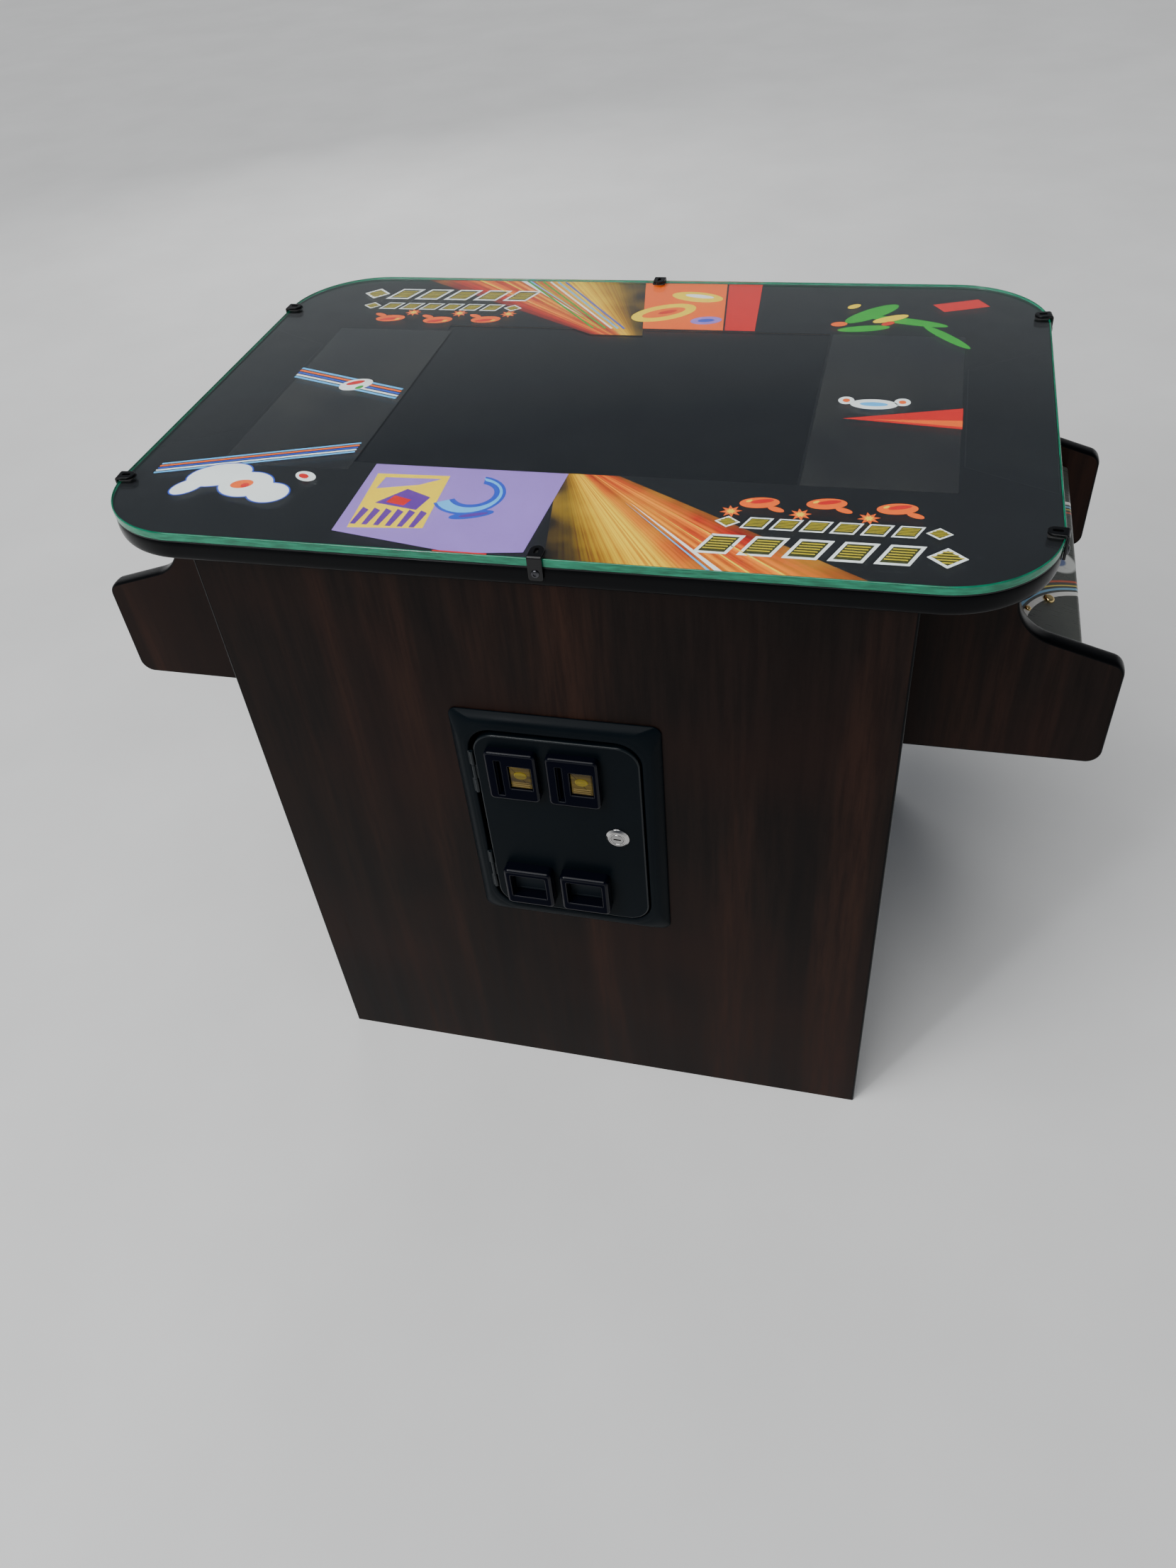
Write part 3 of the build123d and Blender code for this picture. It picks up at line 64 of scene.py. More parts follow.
def make_camera():
    camera = new_object("camera", bpy.data.cameras.new("camera"))
    turn = Matrix.Rotation(HEADING, 4, "Z") @ Matrix.Rotation(PITCH, 4, "X") @ Matrix.Rotation(ROLL, 4, "Z")
    camera.matrix_world = Matrix.Translation(CAMERA_AT) @ turn
    camera.data.lens = LENS
    camera.data.clip_start = 0.01
    bpy.context.scene.camera = camera


make_camera()


# ---- node helpers ----
class Nodes:
    """A short way to build the nodes of a material or world. Places are the object's own."""

    def __init__(self, name, kind=bpy.data.materials):
        self.material = kind.new(name)
        self.material.use_nodes = True
        self.tree = self.material.node_tree
        self.shader = self.tree.nodes.get("Principled BSDF") or self.tree.nodes["Background"]
        self.coordinates = self.tree.nodes.new("ShaderNodeTexCoord").outputs
        self.place = self.coordinates["Object"]

    def add(self, kind, inputs=None, **settings):
        node = self.tree.nodes.new("ShaderNode" + kind)
        for key, value in settings.items():
            setattr(node, key, value)
        for key, value in (inputs or {}).items():
            self.put(node.inputs[key], value)
        return node

    def put(self, socket, value):
        if isinstance(value, bpy.types.NodeSocket):
            self.tree.links.new(value, socket)
        else:
            socket.default_value = value

    def set(self, **values):
        for key, value in values.items():
            self.put(self.shader.inputs[key.replace("_", " ")], value)

    def noise(self, scale, stretch=(1, 1, 1), detail=4.0, rough=0.55, warp=0.0):
        spot = self.add("Mapping", {"Vector": self.place, "Scale": stretch}).outputs["Vector"]
        inputs = {"Vector": spot, "Scale": scale, "Detail": detail, "Roughness": rough, "Distortion": warp}
        return self.add("TexNoise", inputs).outputs["Fac"]

    def ramp(self, source, *stops):
        node = self.add("ValToRGB", {"Fac": source})
        points = node.color_ramp.elements
        while len(points) < len(stops):
            points.new(0.5)
        for point, (at, colour) in zip(points, stops):
            point.position = at
            point.color = (*colour, 1)
        return node.outputs["Color"]

    def span(self, source, low, high, out_low=0.0, out_high=1.0):
        inputs = {"Value": source, "From Min": low, "From Max": high, "To Min": out_low, "To Max": out_high}
        return self.add("MapRange", inputs).outputs["Result"]

    def mix(self, factor, one, two, blend="MIX"):
        node = self.add("Mix", {"Factor": factor}, data_type="RGBA", blend_type=blend)
        colours = [socket for socket in node.inputs if socket.type == "RGBA"]
        self.put(colours[0], one if isinstance(one, bpy.types.NodeSocket) else (*one, 1))
        self.put(colours[1], two if isinstance(two, bpy.types.NodeSocket) else (*two, 1))
        return [socket for socket in node.outputs if socket.type == "RGBA"][0]

    def math(self, operation, one, two=0.0):
        node = self.add("Math", operation=operation)
        self.put(node.inputs[0], one)
        self.put(node.inputs[1], two)
        return node.outputs["Value"]

    def bump(self, height, strength, distance):
        inputs = {"Height": height, "Strength": strength, "Distance": distance}
        return self.add("Bump", inputs).outputs["Normal"]

    def local(self, at, turn):
        """The object's coordinates, as a frame at a place and turn on it has them."""
        inputs = {"Vector": self.place, "Location": at, "Rotation": turn}
        return self.add("Mapping", inputs, vector_type="TEXTURE").outputs["Vector"]

    def finish(self, colour, gloss, relief, **values):
        """gloss is (noise, least, most roughness), and relief is (noise, strength, distance)."""
        noise, least, most = gloss
        self.set(Base_Color=colour, Roughness=self.span(noise, 0.3, 0.7, least, most))
        self.set(Normal=self.bump(*relief), **values)
        return self.material


# ---- materials ----
def grained(across, along, axis):
    """Scales for a noise that is drawn out along one axis."""
    return [along if letter == axis else across for letter in "XYZ"]


def laminate(name, along):
    """Dark walnut laminate: fine dark pores and slow reddish bands along the grain axis."""
    n = Nodes(name)
    stretch = grained(14.0, 0.9, along)
    slow = n.noise(1.0, stretch, detail=3.0, warp=0.6)
    fine = n.noise(9.0, stretch, detail=6.0, rough=0.7)
    cloud = n.noise(4.0, detail=2.0)
    dark, middle, pale = (0.0030, 0.0018, 0.0016), (0.0085, 0.0045, 0.0034), (0.026, 0.0105, 0.0062)
    base = n.ramp(slow, (0.30, dark), (0.52, middle), (0.74, pale))
    pores = n.ramp(fine, (0.38, (0.35, 0.3, 0.3)), (0.60, (1, 1, 1)))
    colour = n.mix(0.8, base, pores, "MULTIPLY")
    colour = n.mix(n.span(cloud, 0.45, 0.75, 0.0, 0.40), colour, (0.021, 0.0068, 0.0042))
    return n.finish(colour, (fine, 0.36, 0.52), (fine, 0.12, 0.0004), Specular_IOR_Level=0.09)


def plywood(name, along="X"):
    """Bare plywood: soft growth bands along the grain, and fine short pores."""
    n = Nodes(name)
    grain = n.noise(1.6, grained(11.0, 1.1, along), detail=5.0, warp=0.5)
    pores = n.noise(1.0, grained(420.0, 28.0, along), detail=2.0)
    dark, middle, pale = (0.40, 0.28, 0.165), (0.50, 0.37, 0.235), (0.56, 0.43, 0.285)
    colour = n.ramp(grain, (0.35, dark), (0.55, middle), (0.72, pale))
    colour = n.mix(n.span(pores, 0.55, 0.72, 0.0, 0.45), colour, (0.24, 0.15, 0.08))
    return n.finish(colour, (grain, 0.62, 0.8), (pores, 0.25, 0.0002))


def plastic(name, colour, rough, grain=900.0, depth=0.00008, wear=0.1, coat=0.0, shine=0.5):
    """Moulded plastic or vinyl: a fine texture, and slight cloudy changes of gloss."""
    n = Nodes(name)
    fine = n.noise(grain, detail=2.0)
    cloud = n.noise(18.0)
    dull = tuple(min(1, c * (1 + wear) + 0.01 * wear) for c in colour)
    shade, gloss = n.mix(cloud, colour, dull), (cloud, rough - 0.06, rough + 0.08)
    extra = {"Coat_Weight": coat, "Coat_Roughness": 0.08, "Specular_IOR_Level": shine}
    return n.finish(shade, gloss, (fine, 0.25, depth), **extra)


def metal(name, colour, rough, scratch=0.3, tarnish=0.55):
    """Metal with fine scratches and clouds that are darker by the share in tarnish."""
    n = Nodes(name)
    lines = n.noise(0.4, (220, 220, 220))
    cloud = n.noise(55.0)
    dark = tuple(c * tarnish for c in colour)
    shade = n.mix(n.span(cloud, 0.38, 0.62), dark, colour)
    return n.finish(shade, (lines, rough * 0.75, rough * 1.3), (lines, scratch, 0.00003), Metallic=1.0)


def powder_coat(name, colour, rough, shine=0.05):
    """Powder coat: fine orange peel over a nearly black paint, a little polished in places."""
    n = Nodes(name)
    peel = n.noise(650.0, detail=2.0)
    cloud = n.noise(11.0)
    pale = tuple(c * 1.9 + 0.0004 for c in colour)
    shade, gloss = n.mix(cloud, colour, pale), (cloud, rough - 0.07, rough + 0.07)
    return n.finish(shade, gloss, (peel, 0.35, 0.00012), Specular_IOR_Level=shine)


def clear_glass(name):
    n = Nodes(name)
    smear = n.noise(7.0, detail=5.0)
    n.set(Base_Color=(0.93, 0.985, 0.965, 1), Roughness=n.span(smear, 0.4, 0.7, 0.0, 0.03))
    n.set(Transmission_Weight=1.0, IOR=1.5)
    return n.material


def glass_edge(name):
    """The ground edge of plate glass, where its green shows."""
    n = Nodes(name)
    grind = n.noise(60.0, (1, 1, 8))
    colour = n.ramp(grind, (0.3, (0.0004, 0.10, 0.050)), (0.7, (0.001, 0.26, 0.135)))
    n.set(Base_Color=colour, Roughness=n.span(grind, 0.3, 0.7, 0.08, 0.22), Transmission_Weight=0.2, IOR=1.5)
    return n.material


def film_gloss(name):
    """A strip of clear film over black: it has lain down with a faint orange peel."""
    n = Nodes(name)
    peel = n.noise(160.0, detail=3.0)
    tint = n.noise(12.0, detail=3.0)
    shade = n.ramp(tint, (0.3, (0.010, 0.010, 0.012)), (0.7, (0.020, 0.019, 0.018)))
    return n.finish(shade, (tint, 0.14, 0.22), (peel, 0.35, 0.0004))


def amber(name, deep, bright):
    """Clear amber plastic over a dark hollow: level streaks, with a faint cloud in them."""
    n = Nodes(name)
    streaks = n.noise(60.0, (0.3, 1, 3.0), detail=2.0, warp=0.3)
    fine = n.noise(900.0, detail=2.0)
    colour = n.ramp(streaks, (0.36, deep), (0.66, bright))
    return n.finish(colour, (streaks, 0.10, 0.2), (fine, 0.05, 0.00003), Specular_IOR_Level=0.25)


BOARD_T = 13.6 * MM  # the bare board and its spacers, below the chips


def circuit(name):
    """Green circuit board with fine tracks, and black chips above it."""
    n = Nodes(name)
    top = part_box("game_board")[0].z + BOARD_T + 0.0002
    height = n.add("SeparateXYZ", {"Vector": n.place}).outputs["Z"]
    cells = n.add("TexBrick", {"Vector": n.place, "Scale": 90.0, "Mortar Size": 0.08}, offset=0.3)
    for key, tone in (("Color1", 0.0), ("Color2", 0.55), ("Mortar", 1.0)):
        cells.inputs[key].default_value = (tone, tone, tone, 1)
    tracks = cells.outputs["Color"]
    board = n.mix(tracks, (0.006, 0.075, 0.024), (0.020, 0.17, 0.050))
    dust = n.noise(45.0)
    chips = n.mix(dust, (0.010, 0.010, 0.011), (0.024, 0.024, 0.024))
    shade = n.mix(n.span(height, top, top + 0.0002), board, chips)
    return n.finish(shade, (dust, 0.32, 0.48), (tracks, 0.1, 0.00005))


CONTROL_SLOPE = math.radians(17.5)
CONTROL_X, CONTROL_Z = 0.467, 0.590  # the middle of a control plate's face
BANDS = (
    (92, 6, (0.70, 0.70, 0.66)),
    (99, 3, (0.20, 0.42, 0.60)),
    (104, 2, (0.62, 0.50, 0.10)),
    (110, 3, (0.50, 0.10, 0.05)),
)


def panel_sheet(side):
    """The control panels' printed sheet: grey ground, curved bands of light and warm patches."""
    n = Nodes(f"panel_sheet_{side}")
    sign, half_turn = (1, 0) if side == "right" else (-1, math.pi)
    spot = n.local((CONTROL_X * sign, 0, CONTROL_Z), (0, CONTROL_SLOPE, half_turn))

    def reach(x, y):
        inputs = {0: spot, 1: (x * MM, y * MM, 0)}
        return n.add("VectorMath", inputs, operation="DISTANCE").outputs["Value"]

    def band(distance, radius, width):
        gap = n.math("ABSOLUTE", n.math("SUBTRACT", distance, radius * MM))
        return n.span(gap, width * MM * 0.42, width * MM * 0.5, 1.0, 0.0)

    mottle = n.noise(30.0)
    colour = n.ramp(mottle, (0.3, (0.050, 0.055, 0.048)), (0.7, (0.075, 0.080, 0.068)))
    warm, cool = reach(-128, 30), reach(-20, -18)
    for centre, inner, outer, share, tone in (
        (warm, 0.030, 0.052, 0.85, (0.45, 0.03, 0.012)),
        (warm, 0.012, 0.024, 0.9, (0.80, 0.50, 0.03)),
        (cool, 0.018, 0.021, 0.9, (0.62, 0.63, 0.60)),
        (cool, 0.008, 0.010, 0.9, (0.06, 0.10, 0.25)),
    ):
        colour = n.mix(n.span(centre, inner, outer, share, 0.0), colour, tone)
    for sweep, wider in ((reach(34, -150), 0), (reach(-40, 210), 26)):
        for radius, width, tone in BANDS:
            colour = n.mix(band(sweep, radius + wider, width), colour, tone)
    scuffs = n.noise(70.0, (1, 6, 1), detail=5.0)
    n.set(Base_Color=colour, Roughness=n.span(scuffs, 0.35, 0.7, 0.26, 0.42))
    n.set(Normal=n.bump(scuffs, 0.05, 0.00005))
    return n.material


MATERIALS = {
    "laminate": laminate("walnut_laminate", "Z"),
    "plain_wood": plywood("bare_wood"),
    "black_moulding": plastic("black_vinyl_moulding", (0.0010, 0.0011, 0.0015), 0.22, 1200.0, shine=0.08),
    "art_print": plastic("art_sheet", (0.005, 0.005, 0.006), 0.35, shine=0.3),
    "glass": clear_glass("plate_glass"),
    "panel_print": panel_sheet("right"),
    "black_coat": powder_coat("black_powder_coat", (0.0009, 0.0021, 0.0032), 0.34),
    "black_plastic": plastic("black_gloss_plastic", (0.0005, 0.0009, 0.0040), 0.11, wear=0.02, shine=0.02),
    "amber_plastic": amber("amber_lens", (0.020, 0.011, 0.0003), (0.085, 0.055, 0.001)),
    "chrome": metal("chrome_plate", (0.50, 0.49, 0.48), 0.10, scratch=0.05, tarnish=0.92),
    "steel": metal("zinc_steel", (0.30, 0.305, 0.31), 0.36, tarnish=0.8),
    "brass": metal("polished_brass", (0.83, 0.62, 0.27), 0.16),
    "rubber": plastic("soft_rubber", (0.016, 0.016, 0.016), 0.75),
    "screen": plastic("display_face", (0.003, 0.003, 0.0035), 0.12, grain=60.0, depth=0.00001, shine=0.4),
    "red_plastic": plastic("red_plastic", (0.55, 0.012, 0.010), 0.2, coat=0.5),
    "white_plastic": plastic("white_plastic", (0.78, 0.77, 0.74), 0.22, coat=0.4),
    "circuit": circuit("circuit_board"),
    "glass_rim": glass_edge("glass_rim"),
    "gloss_edge": plastic("gloss_edge", (0.0008, 0.0012, 0.0040), 0.12, wear=0.05, shine=0.16),
    # glossier rubbed edges for the powder coat; their colour is also about three times lighter than the
    # coat's, a painted highlight along the rounded edges
    "worn_edge_and_highlight": powder_coat("worn_edge_and_highlight", (0.0030, 0.0048, 0.0060), 0.24, 0.22),
    "lock_face": metal("lock_face", (0.36, 0.355, 0.35), 0.2, scratch=0.1, tarnish=0.85),
    "clip": plastic("black_clip_paint", (0.002, 0.002, 0.0024), 0.2, grain=500.0, shine=0.3),
    "flap": powder_coat("grey_black_flap", (0.0034, 0.0052, 0.0072), 0.42, 0.12),
    "amber_oval": amber("amber_oval", (0.075, 0.052, 0.001), (0.17, 0.125, 0.002)),
    "amber_bar": amber("amber_bar", (0.085, 0.055, 0.010), (0.20, 0.14, 0.045)),
    "bare_board": plywood("bare_board", "Z"),
    "black_screw": metal("blackened_screw", (0.10, 0.10, 0.11), 0.25),
}
for part in frame["record"]["subparts"]:
    mesh = NODES[part["node"]].data
    mesh.materials.clear()
    mesh.materials.append(MATERIALS[part["material_slot"]])
NODES["control_plate_left"].data.materials[0] = panel_sheet("left")
NODES["lock_plug"].data.materials[0] = MATERIALS["lock_face"]


# ---- drawing tools: flat outlines in millimetres, and closed shells made from them ----
def rounded(width, height, radius, at=(0, 0), steps=8):
    """A rectangle with round corners, anticlockwise."""
    points = []
    for corner, (right, up) in enumerate(((1, 1), (-1, 1), (-1, -1), (1, -1))):
        for step in range(steps + 1):
            turn = math.radians(90 * (corner + step / steps))
            x = right * (width / 2 - radius) + radius * math.cos(turn)
            y = up * (height / 2 - radius) + radius * math.sin(turn)
            points.append((at[0] + x, at[1] + y))
    return points


def ellipse(width, height, at=(0, 0), steps=32, lean=0.0):
    points = []
    for step in range(steps):
        turn = math.tau * step / steps
        x, y = width / 2 * math.cos(turn), height / 2 * math.sin(turn)
        across, up = x * math.cos(lean) - y * math.sin(lean), x * math.sin(lean) + y * math.cos(lean)
        points.append((at[0] + across, at[1] + up))
    return points


def star(at, outer, inner, arms, lean=0.0):
    turns = [lean + math.pi * k / arms for k in range(2 * arms)]
    return [(at[0] + r * math.cos(t), at[1] + r * math.sin(t)) for t, r in zip(turns, (outer, inner) * arms)]


def filleted(corners, steps=8):
    """A path through (x, y, radius) corners, with each corner rounded."""
    path = []
    last = len(corners) - 1
    for number, (x, y, radius) in enumerate(corners):
        here = Vector((x, y))
        if radius == 0 or number in (0, last):
            path.append((x, y))
            continue
        back = (Vector(corners[number - 1][:2]) - here).normalized()
        ahead = (Vector(corners[number + 1][:2]) - here).normalized()
        half = back.angle(ahead) / 2
        middle = here + (back + ahead).normalized() * radius / math.sin(half)
        start = here + back * radius / math.tan(half) - middle
        turn = start.angle_signed(here + ahead * radius / math.tan(half) - middle)
        for step in range(steps + 1):
            angle = -turn * step / steps
            spoke = Matrix.Rotation(angle, 2) @ start
            path.append(tuple(middle + spoke))
    return path


def shifted(points, inset, closed=True):
    """The outline moved to its left by a distance, corner by corner."""
    moved = []
    count = len(points)
    for number in range(count):
        here = Vector(points[number])
        before = Vector(points[number - 1]) if closed or number else None
        after = Vector(points[(number + 1) % count]) if closed or number < count - 1 else None
        sides = []
        if before is not None:
            sides.append((here - before).normalized().orthogonal())
        if after is not None:
            sides.append((after - here).normalized().orthogonal())
        if len(sides) == 2 and sides[0].dot(sides[1]) > -0.9:
            normal = (sides[0] + sides[1]) / (1 + sides[0].dot(sides[1]))
        else:
            normal = sides[0]
        moved.append(tuple(here + normal * inset))
    return moved


def turned_left(points, left=True):
    """The outline, run anticlockwise if left is true and clockwise if not."""
    area = sum(a[0] * b[1] - b[0] * a[1] for a, b in zip(points, points[1:] + points[:1]))
    return points if (area > 0) == left else points[::-1]


def quarter(steps, first=0):
    """The sines and cosines of a quarter turn, in even steps."""
    turns = [math.pi / 2 * step / steps for step in range(first, steps + 1)]
    return [(math.sin(turn), math.cos(turn)) for turn in turns]


def round_edges(low, high, low_edge, high_edge, steps=3):
    """(inset, depth) points up the side of a plate, with its two edges rounded."""
    foot, head = (quarter(steps) if edge else [(0, 0)] for edge in (low_edge, high_edge))
    points = [(low_edge * (1 - s), low + low_edge * (1 - c)) for s, c in foot]
    return points + [(high_edge * (1 - c), high - high_edge * (1 - s)) for s, c in head]


def crowned(low, high, thick, power=2.6, steps=14):
    """(inset, depth) points round an edge moulding: a convex face and a flat back."""
    points = []
    for step in range(steps + 1):
        across = -math.cos(math.pi * step / steps)
        inset = thick * (1 - (1 - abs(across) ** power) ** (1 / power))
        points.append((inset, (low + high) / 2 + across * (high - low) / 2))
    return points


def place(origin, u, v):
    """A flat drawing's place: u and v are its two directions, and depth goes towards the viewer."""
    u, v = Vector(u), Vector(v)
    where = Matrix((u, v, u.cross(v))).transposed().to_4x4()
    where.translation = Vector(origin)
    return where


class Piece:
    """Closed shells for one object, in millimetres. paint is the material the next faces take."""

    def __init__(self):
        self.bm = bmesh.new()
        self.paint = 0

    def ring(self, where, points, depth):
        return [self.bm.verts.new(where @ Vector((x, y, depth))) for x, y in points]

    def face(self, corners):
        made = self.bm.faces.new(corners)
        made.material_index = self.paint

    def skin(self, one, two, closed=True):
        for number in range(len(one) if closed else len(one) - 1):
            after = (number + 1) % len(one)
            self.face((one[number], one[after], two[after], two[number]))

    def cap(self, rings):
        if len(rings) == 1:
            self.face(rings[0])
            return
        edges = []
        for ring in rings:
            for a, b in zip(ring, ring[1:] + ring[:1]):
                edges.append(self.bm.edges.get((a, b)) or self.bm.edges.new((a, b)))
        made = bmesh.ops.triangle_fill(self.bm, use_beauty=True, edges=edges)
        for item in made["geom"]:
            if isinstance(item, bmesh.types.BMFace):
                item.material_index = self.paint

    def wall(self, rings, closed=True):
        for one, two in zip(rings, rings[1:]):
            self.skin(one, two, closed)

    def slab(self, where, loops, low, high, edges=(0.3, 0.3), steps=3, rim=None):
        """A plate between two depths. The first loop is its outline, and the others are holes.

        edges holds the radii of its back and front edges, the front one for all loops or a list.
        rim is the paint of its sides, where they have one of their own.
        """
        back, front = edges
        fronts = front if isinstance(front, list) else [front] * len(loops)
        face_paint, lows, highs = self.paint, [], []
        self.paint = face_paint if rim is None else rim
        for number, (loop, edge) in enumerate(zip(loops, fronts)):
            loop = turned_left(loop, number == 0)
            profile = round_edges(low, high, back, edge, steps)
            rings = [self.ring(where, shifted(loop, inset), depth) for inset, depth in profile]
            self.wall(rings)
            lows.append(rings[0])
            highs.append(rings[-1])
        self.paint = face_paint
        self.cap(lows)
        self.cap(highs)

    def strip(self, where, path, profile, closed=True):
        """A moulding with one profile all along a path."""
        rings = [self.ring(where, shifted(path, inset, closed), depth) for inset, depth in profile]
        self.wall(rings + rings[:1], closed)
        if not closed:
            self.face([ring[0] for ring in rings])
            self.face([ring[-1] for ring in rings])

    def loft(self, where, outlines, ends=True):
        """A skin through (outline, depth) pairs that all have the same number of points."""
        rings = [self.ring(where, points, depth) for points, depth in outlines]
        self.wall(rings)
        if ends:
            self.cap(rings[:1])
            self.cap(rings[-1:])
        else:
            self.skin(rings[-1], rings[0])

    def turn(self, where, profile, steps=32, at=(0, 0), ends=True):
        """A turned part: (radius, depth) points round an axis at a point of the drawing."""
        self.loft(where, [(ellipse(2 * r, 2 * r, at, steps), depth) for r, depth in profile], ends)

    def mesh(self, name):
        bmesh.ops.recalc_face_normals(self.bm, faces=self.bm.faces)
        bmesh.ops.scale(self.bm, vec=(MM, MM, MM), verts=self.bm.verts)
        mesh = bpy.data.meshes.new(name)
        self.bm.to_mesh(mesh)
        self.bm.free()
        return mesh

    def done(self, name, body, slot, replaced=(), paints=(), smooth=35):
        return settle(new_object(name, self.mesh(name)), body, slot, replaced, paints, smooth)


def settle(thing, body, slot, replaced=(), paints=(), smooth=35):
    """Gives a new object its materials, which are the slot's own unless paints names others,
    its shading and its body."""
    for key in paints or (slot,):
        thing.data.materials.append(MATERIALS[key])
    thing.data.shade_smooth()
    thing.data.set_sharp_from_angle(angle=math.radians(smooth))
    even = thing.modifiers.new("even_shading", "WEIGHTED_NORMAL")
    even.keep_sharp = True
    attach(thing, body)
    if replaced:
        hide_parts(*replaced)
    return thing


# ---- sizes shared with the CAD part, in millimetres ----
PANEL_T = 18.0
LOW, HIGH = (corner * 1000 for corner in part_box("front_panel"))
HALF_X, BODY_H = HIGH.x, HIGH.z
FRONT_Y = LOW.y
REAR_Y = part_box("rear_panel")[1].y * 1000
INNER_Y = REAR_Y - PANEL_T
GLASS_LOW, GLASS_HIGH = (corner * 1000 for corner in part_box("glass_top"))
TOP_L, TOP_W, TOP_R = GLASS_HIGH.x - GLASS_LOW.x, GLASS_HIGH.y - GLASS_LOW.y, 95.0
BOARD_Z = GLASS_LOW.z - 1
FRONT = place((0, FRONT_Y, 0), (1, 0, 0), (0, 0, 1))
REAR = place((0, REAR_Y, 0), (-1, 0, 0), (0, 0, 1))
SIDES = {"right": 1, "left": -1}
ENDS = {side: place((sign * HALF_X, 0, 0), (0, sign, 0), (0, 0, 1)) for side, sign in SIDES.items()}
PROFILES = [place((0, 0, 0), (sign, 0, 0), (0, 0, 1)) for sign in SIDES.values()]
FLAT = place((0, 0, 0), (1, 0, 0), (0, 1, 0))
FRAME_AT, DOOR_AT = (3.5, 419.5), (5.25, 419.5)
COIN_X = {"left": -38.0, "right": 22.5}
ENTRY_Z, CUP_Z, DOOR_D = 495.5, 339.0, 12.0
SCREEN_AT = (-4.0, 8.0)
WIRE_HOLE, WIRE_HOLE_Z = (80, 45, 10), 560
INLET_HOLE, INLET_AT = (28, 48, 0.8), (-220, 130)
VENT_SLOT, VENT_PITCH, VENTS = (120, 8, 3.99), 18, ((-150, 470), (-150, 250), (150, 250))
GRILLE_AT, GRILLE_HOLE, GRILLE_RINGS = (150, 470), 8, ((12, 6), (26, 12), (39, 18))
CHEEK_LOWS, TRIM_T = (174.0, -192.0), 2.5
NOSE_X, NOSE_R, CHEEK_FOOT = 498.2, 14.5, 492
SLOPE_AT, RISER_AT, RISER_LEAN, THROAT_R = (460.5, 616.0), (403.0, 640.0), 6.0 / 73.0, 46


# ---- cabinet ----
def bare_back(panel, where):
    """The hidden face of a laminated panel is bare board."""
    back = where.inverted()
    for face in panel.bm.faces:
        if all((back @ vert.co).z < 0.01 - PANEL_T for vert in face.verts):
            face.material_index = 1


def make_panels():
    wood = ("laminate", "bare_board")
    front = Piece()
    outline = rounded(2 * HALF_X, BODY_H, 0.6, (0, BODY_H / 2), 2)
    front.slab(FRONT, [outline, rounded(178, 257.5, 30, FRAME_AT)], -PANEL_T, 0, (0.3, 0.3), 2)
    bare_back(front, FRONT)
    front.done("front_panel_board", "cabinet", "laminate", ["front_panel"], wood)

    rear = Piece()
    holes = [rounded(*INLET_HOLE, INLET_AT, 2)]
    for x, z in VENTS:
        holes += [rounded(*VENT_SLOT, (x, z + VENT_PITCH * (row - 2.5))) for row in range(6)]
    for radius, count in GRILLE_RINGS:
        for turn in (math.tau * k / count for k in range(count)):
            at = (GRILLE_AT[0] + radius * math.cos(turn), GRILLE_AT[1] + radius * math.sin(turn))
            holes.append(ellipse(GRILLE_HOLE, GRILLE_HOLE, at, 20))
    rear.slab(REAR, [outline] + holes, -PANEL_T, 0, (0, 0.3), 2)
    bare_back(rear, REAR)
    rear.done("rear_panel_board", "cabinet", "laminate", ["rear_panel"], wood)

    for side, where in ENDS.items():
        end = Piece()
        outline = rounded(2 * INNER_Y, BODY_H, 0.6, (0, BODY_H / 2), 2)
        end.slab(where, [outline, rounded(*WIRE_HOLE, (0, WIRE_HOLE_Z))], -PANEL_T, 0, (0, 0.3), 2)
        bare_back(end, where)
        end.done(f"end_panel_board_{side}", "cabinet", "laminate", [f"end_panel_{side}"], wood)


def cheek_path(inset):
    """A cheek's edge from its foot by the cabinet, round the nose and throat, up to the tabletop."""
    slope, outer = math.tan(CONTROL_SLOPE), NOSE_X - inset
    slope_z = SLOPE_AT[1] - inset / math.cos(CONTROL_SLOPE) + SLOPE_AT[0] * slope
    riser = RISER_AT[0] - inset / math.cos(math.atan(RISER_LEAN)) + RISER_AT[1] * RISER_LEAN
    throat_z = (slope_z - riser * slope) / (1 - RISER_LEAN * slope)
    corners = [
        (HALF_X, CHEEK_FOOT + inset, 0),
        (outer, CHEEK_FOOT + inset, NOSE_R - inset),
        (outer, slope_z - outer * slope, NOSE_R - inset),
        (riser - throat_z * RISER_LEAN, throat_z, THROAT_R + inset),
        (riser - BODY_H * RISER_LEAN, BODY_H, 0),
    ]
    return filleted(corners, 10)


def make_cheeks():
    cheeks, trims = Piece(), Piece()
    for where in PROFILES:
        for low in CHEEK_LOWS:
            loop = cheek_path(TRIM_T) + [(HALF_X, BODY_H)]
            cheeks.slab(where, [loop], low, low + PANEL_T, (0.2, 0.2), 2)
            trims.strip(where, cheek_path(0), crowned(low, low + PANEL_T, TRIM_T), closed=False)
    cheeks.done("cheek_boards", "cabinet", "laminate", ["control_cheeks"])
    trims.done("cheek_moulding", "cabinet", "black_moulding", ["cheek_trim"], smooth=50)


# ---- tabletop ----
def make_tabletop():
    outline = rounded(TOP_L, TOP_W, TOP_R, steps=24)
    moulding = Piece()
    moulding.strip(FLAT, outline, crowned(BODY_H, BODY_H + PANEL_T, 3.0))
    moulding.done("tabletop_moulding", "lid", "black_moulding", ["top_trim"], smooth=50)

    glass = Piece()
    glass.slab(FLAT, [outline], GLASS_LOW.z, GLASS_HIGH.z, (1.2, 1.2), 4, rim=1)
    plate = glass.done("glass_plate", "lid", "glass", ["glass_top"], ("glass", "glass_rim"))
    plate.visible_shadow = False  # clear glass lets the light through to the print


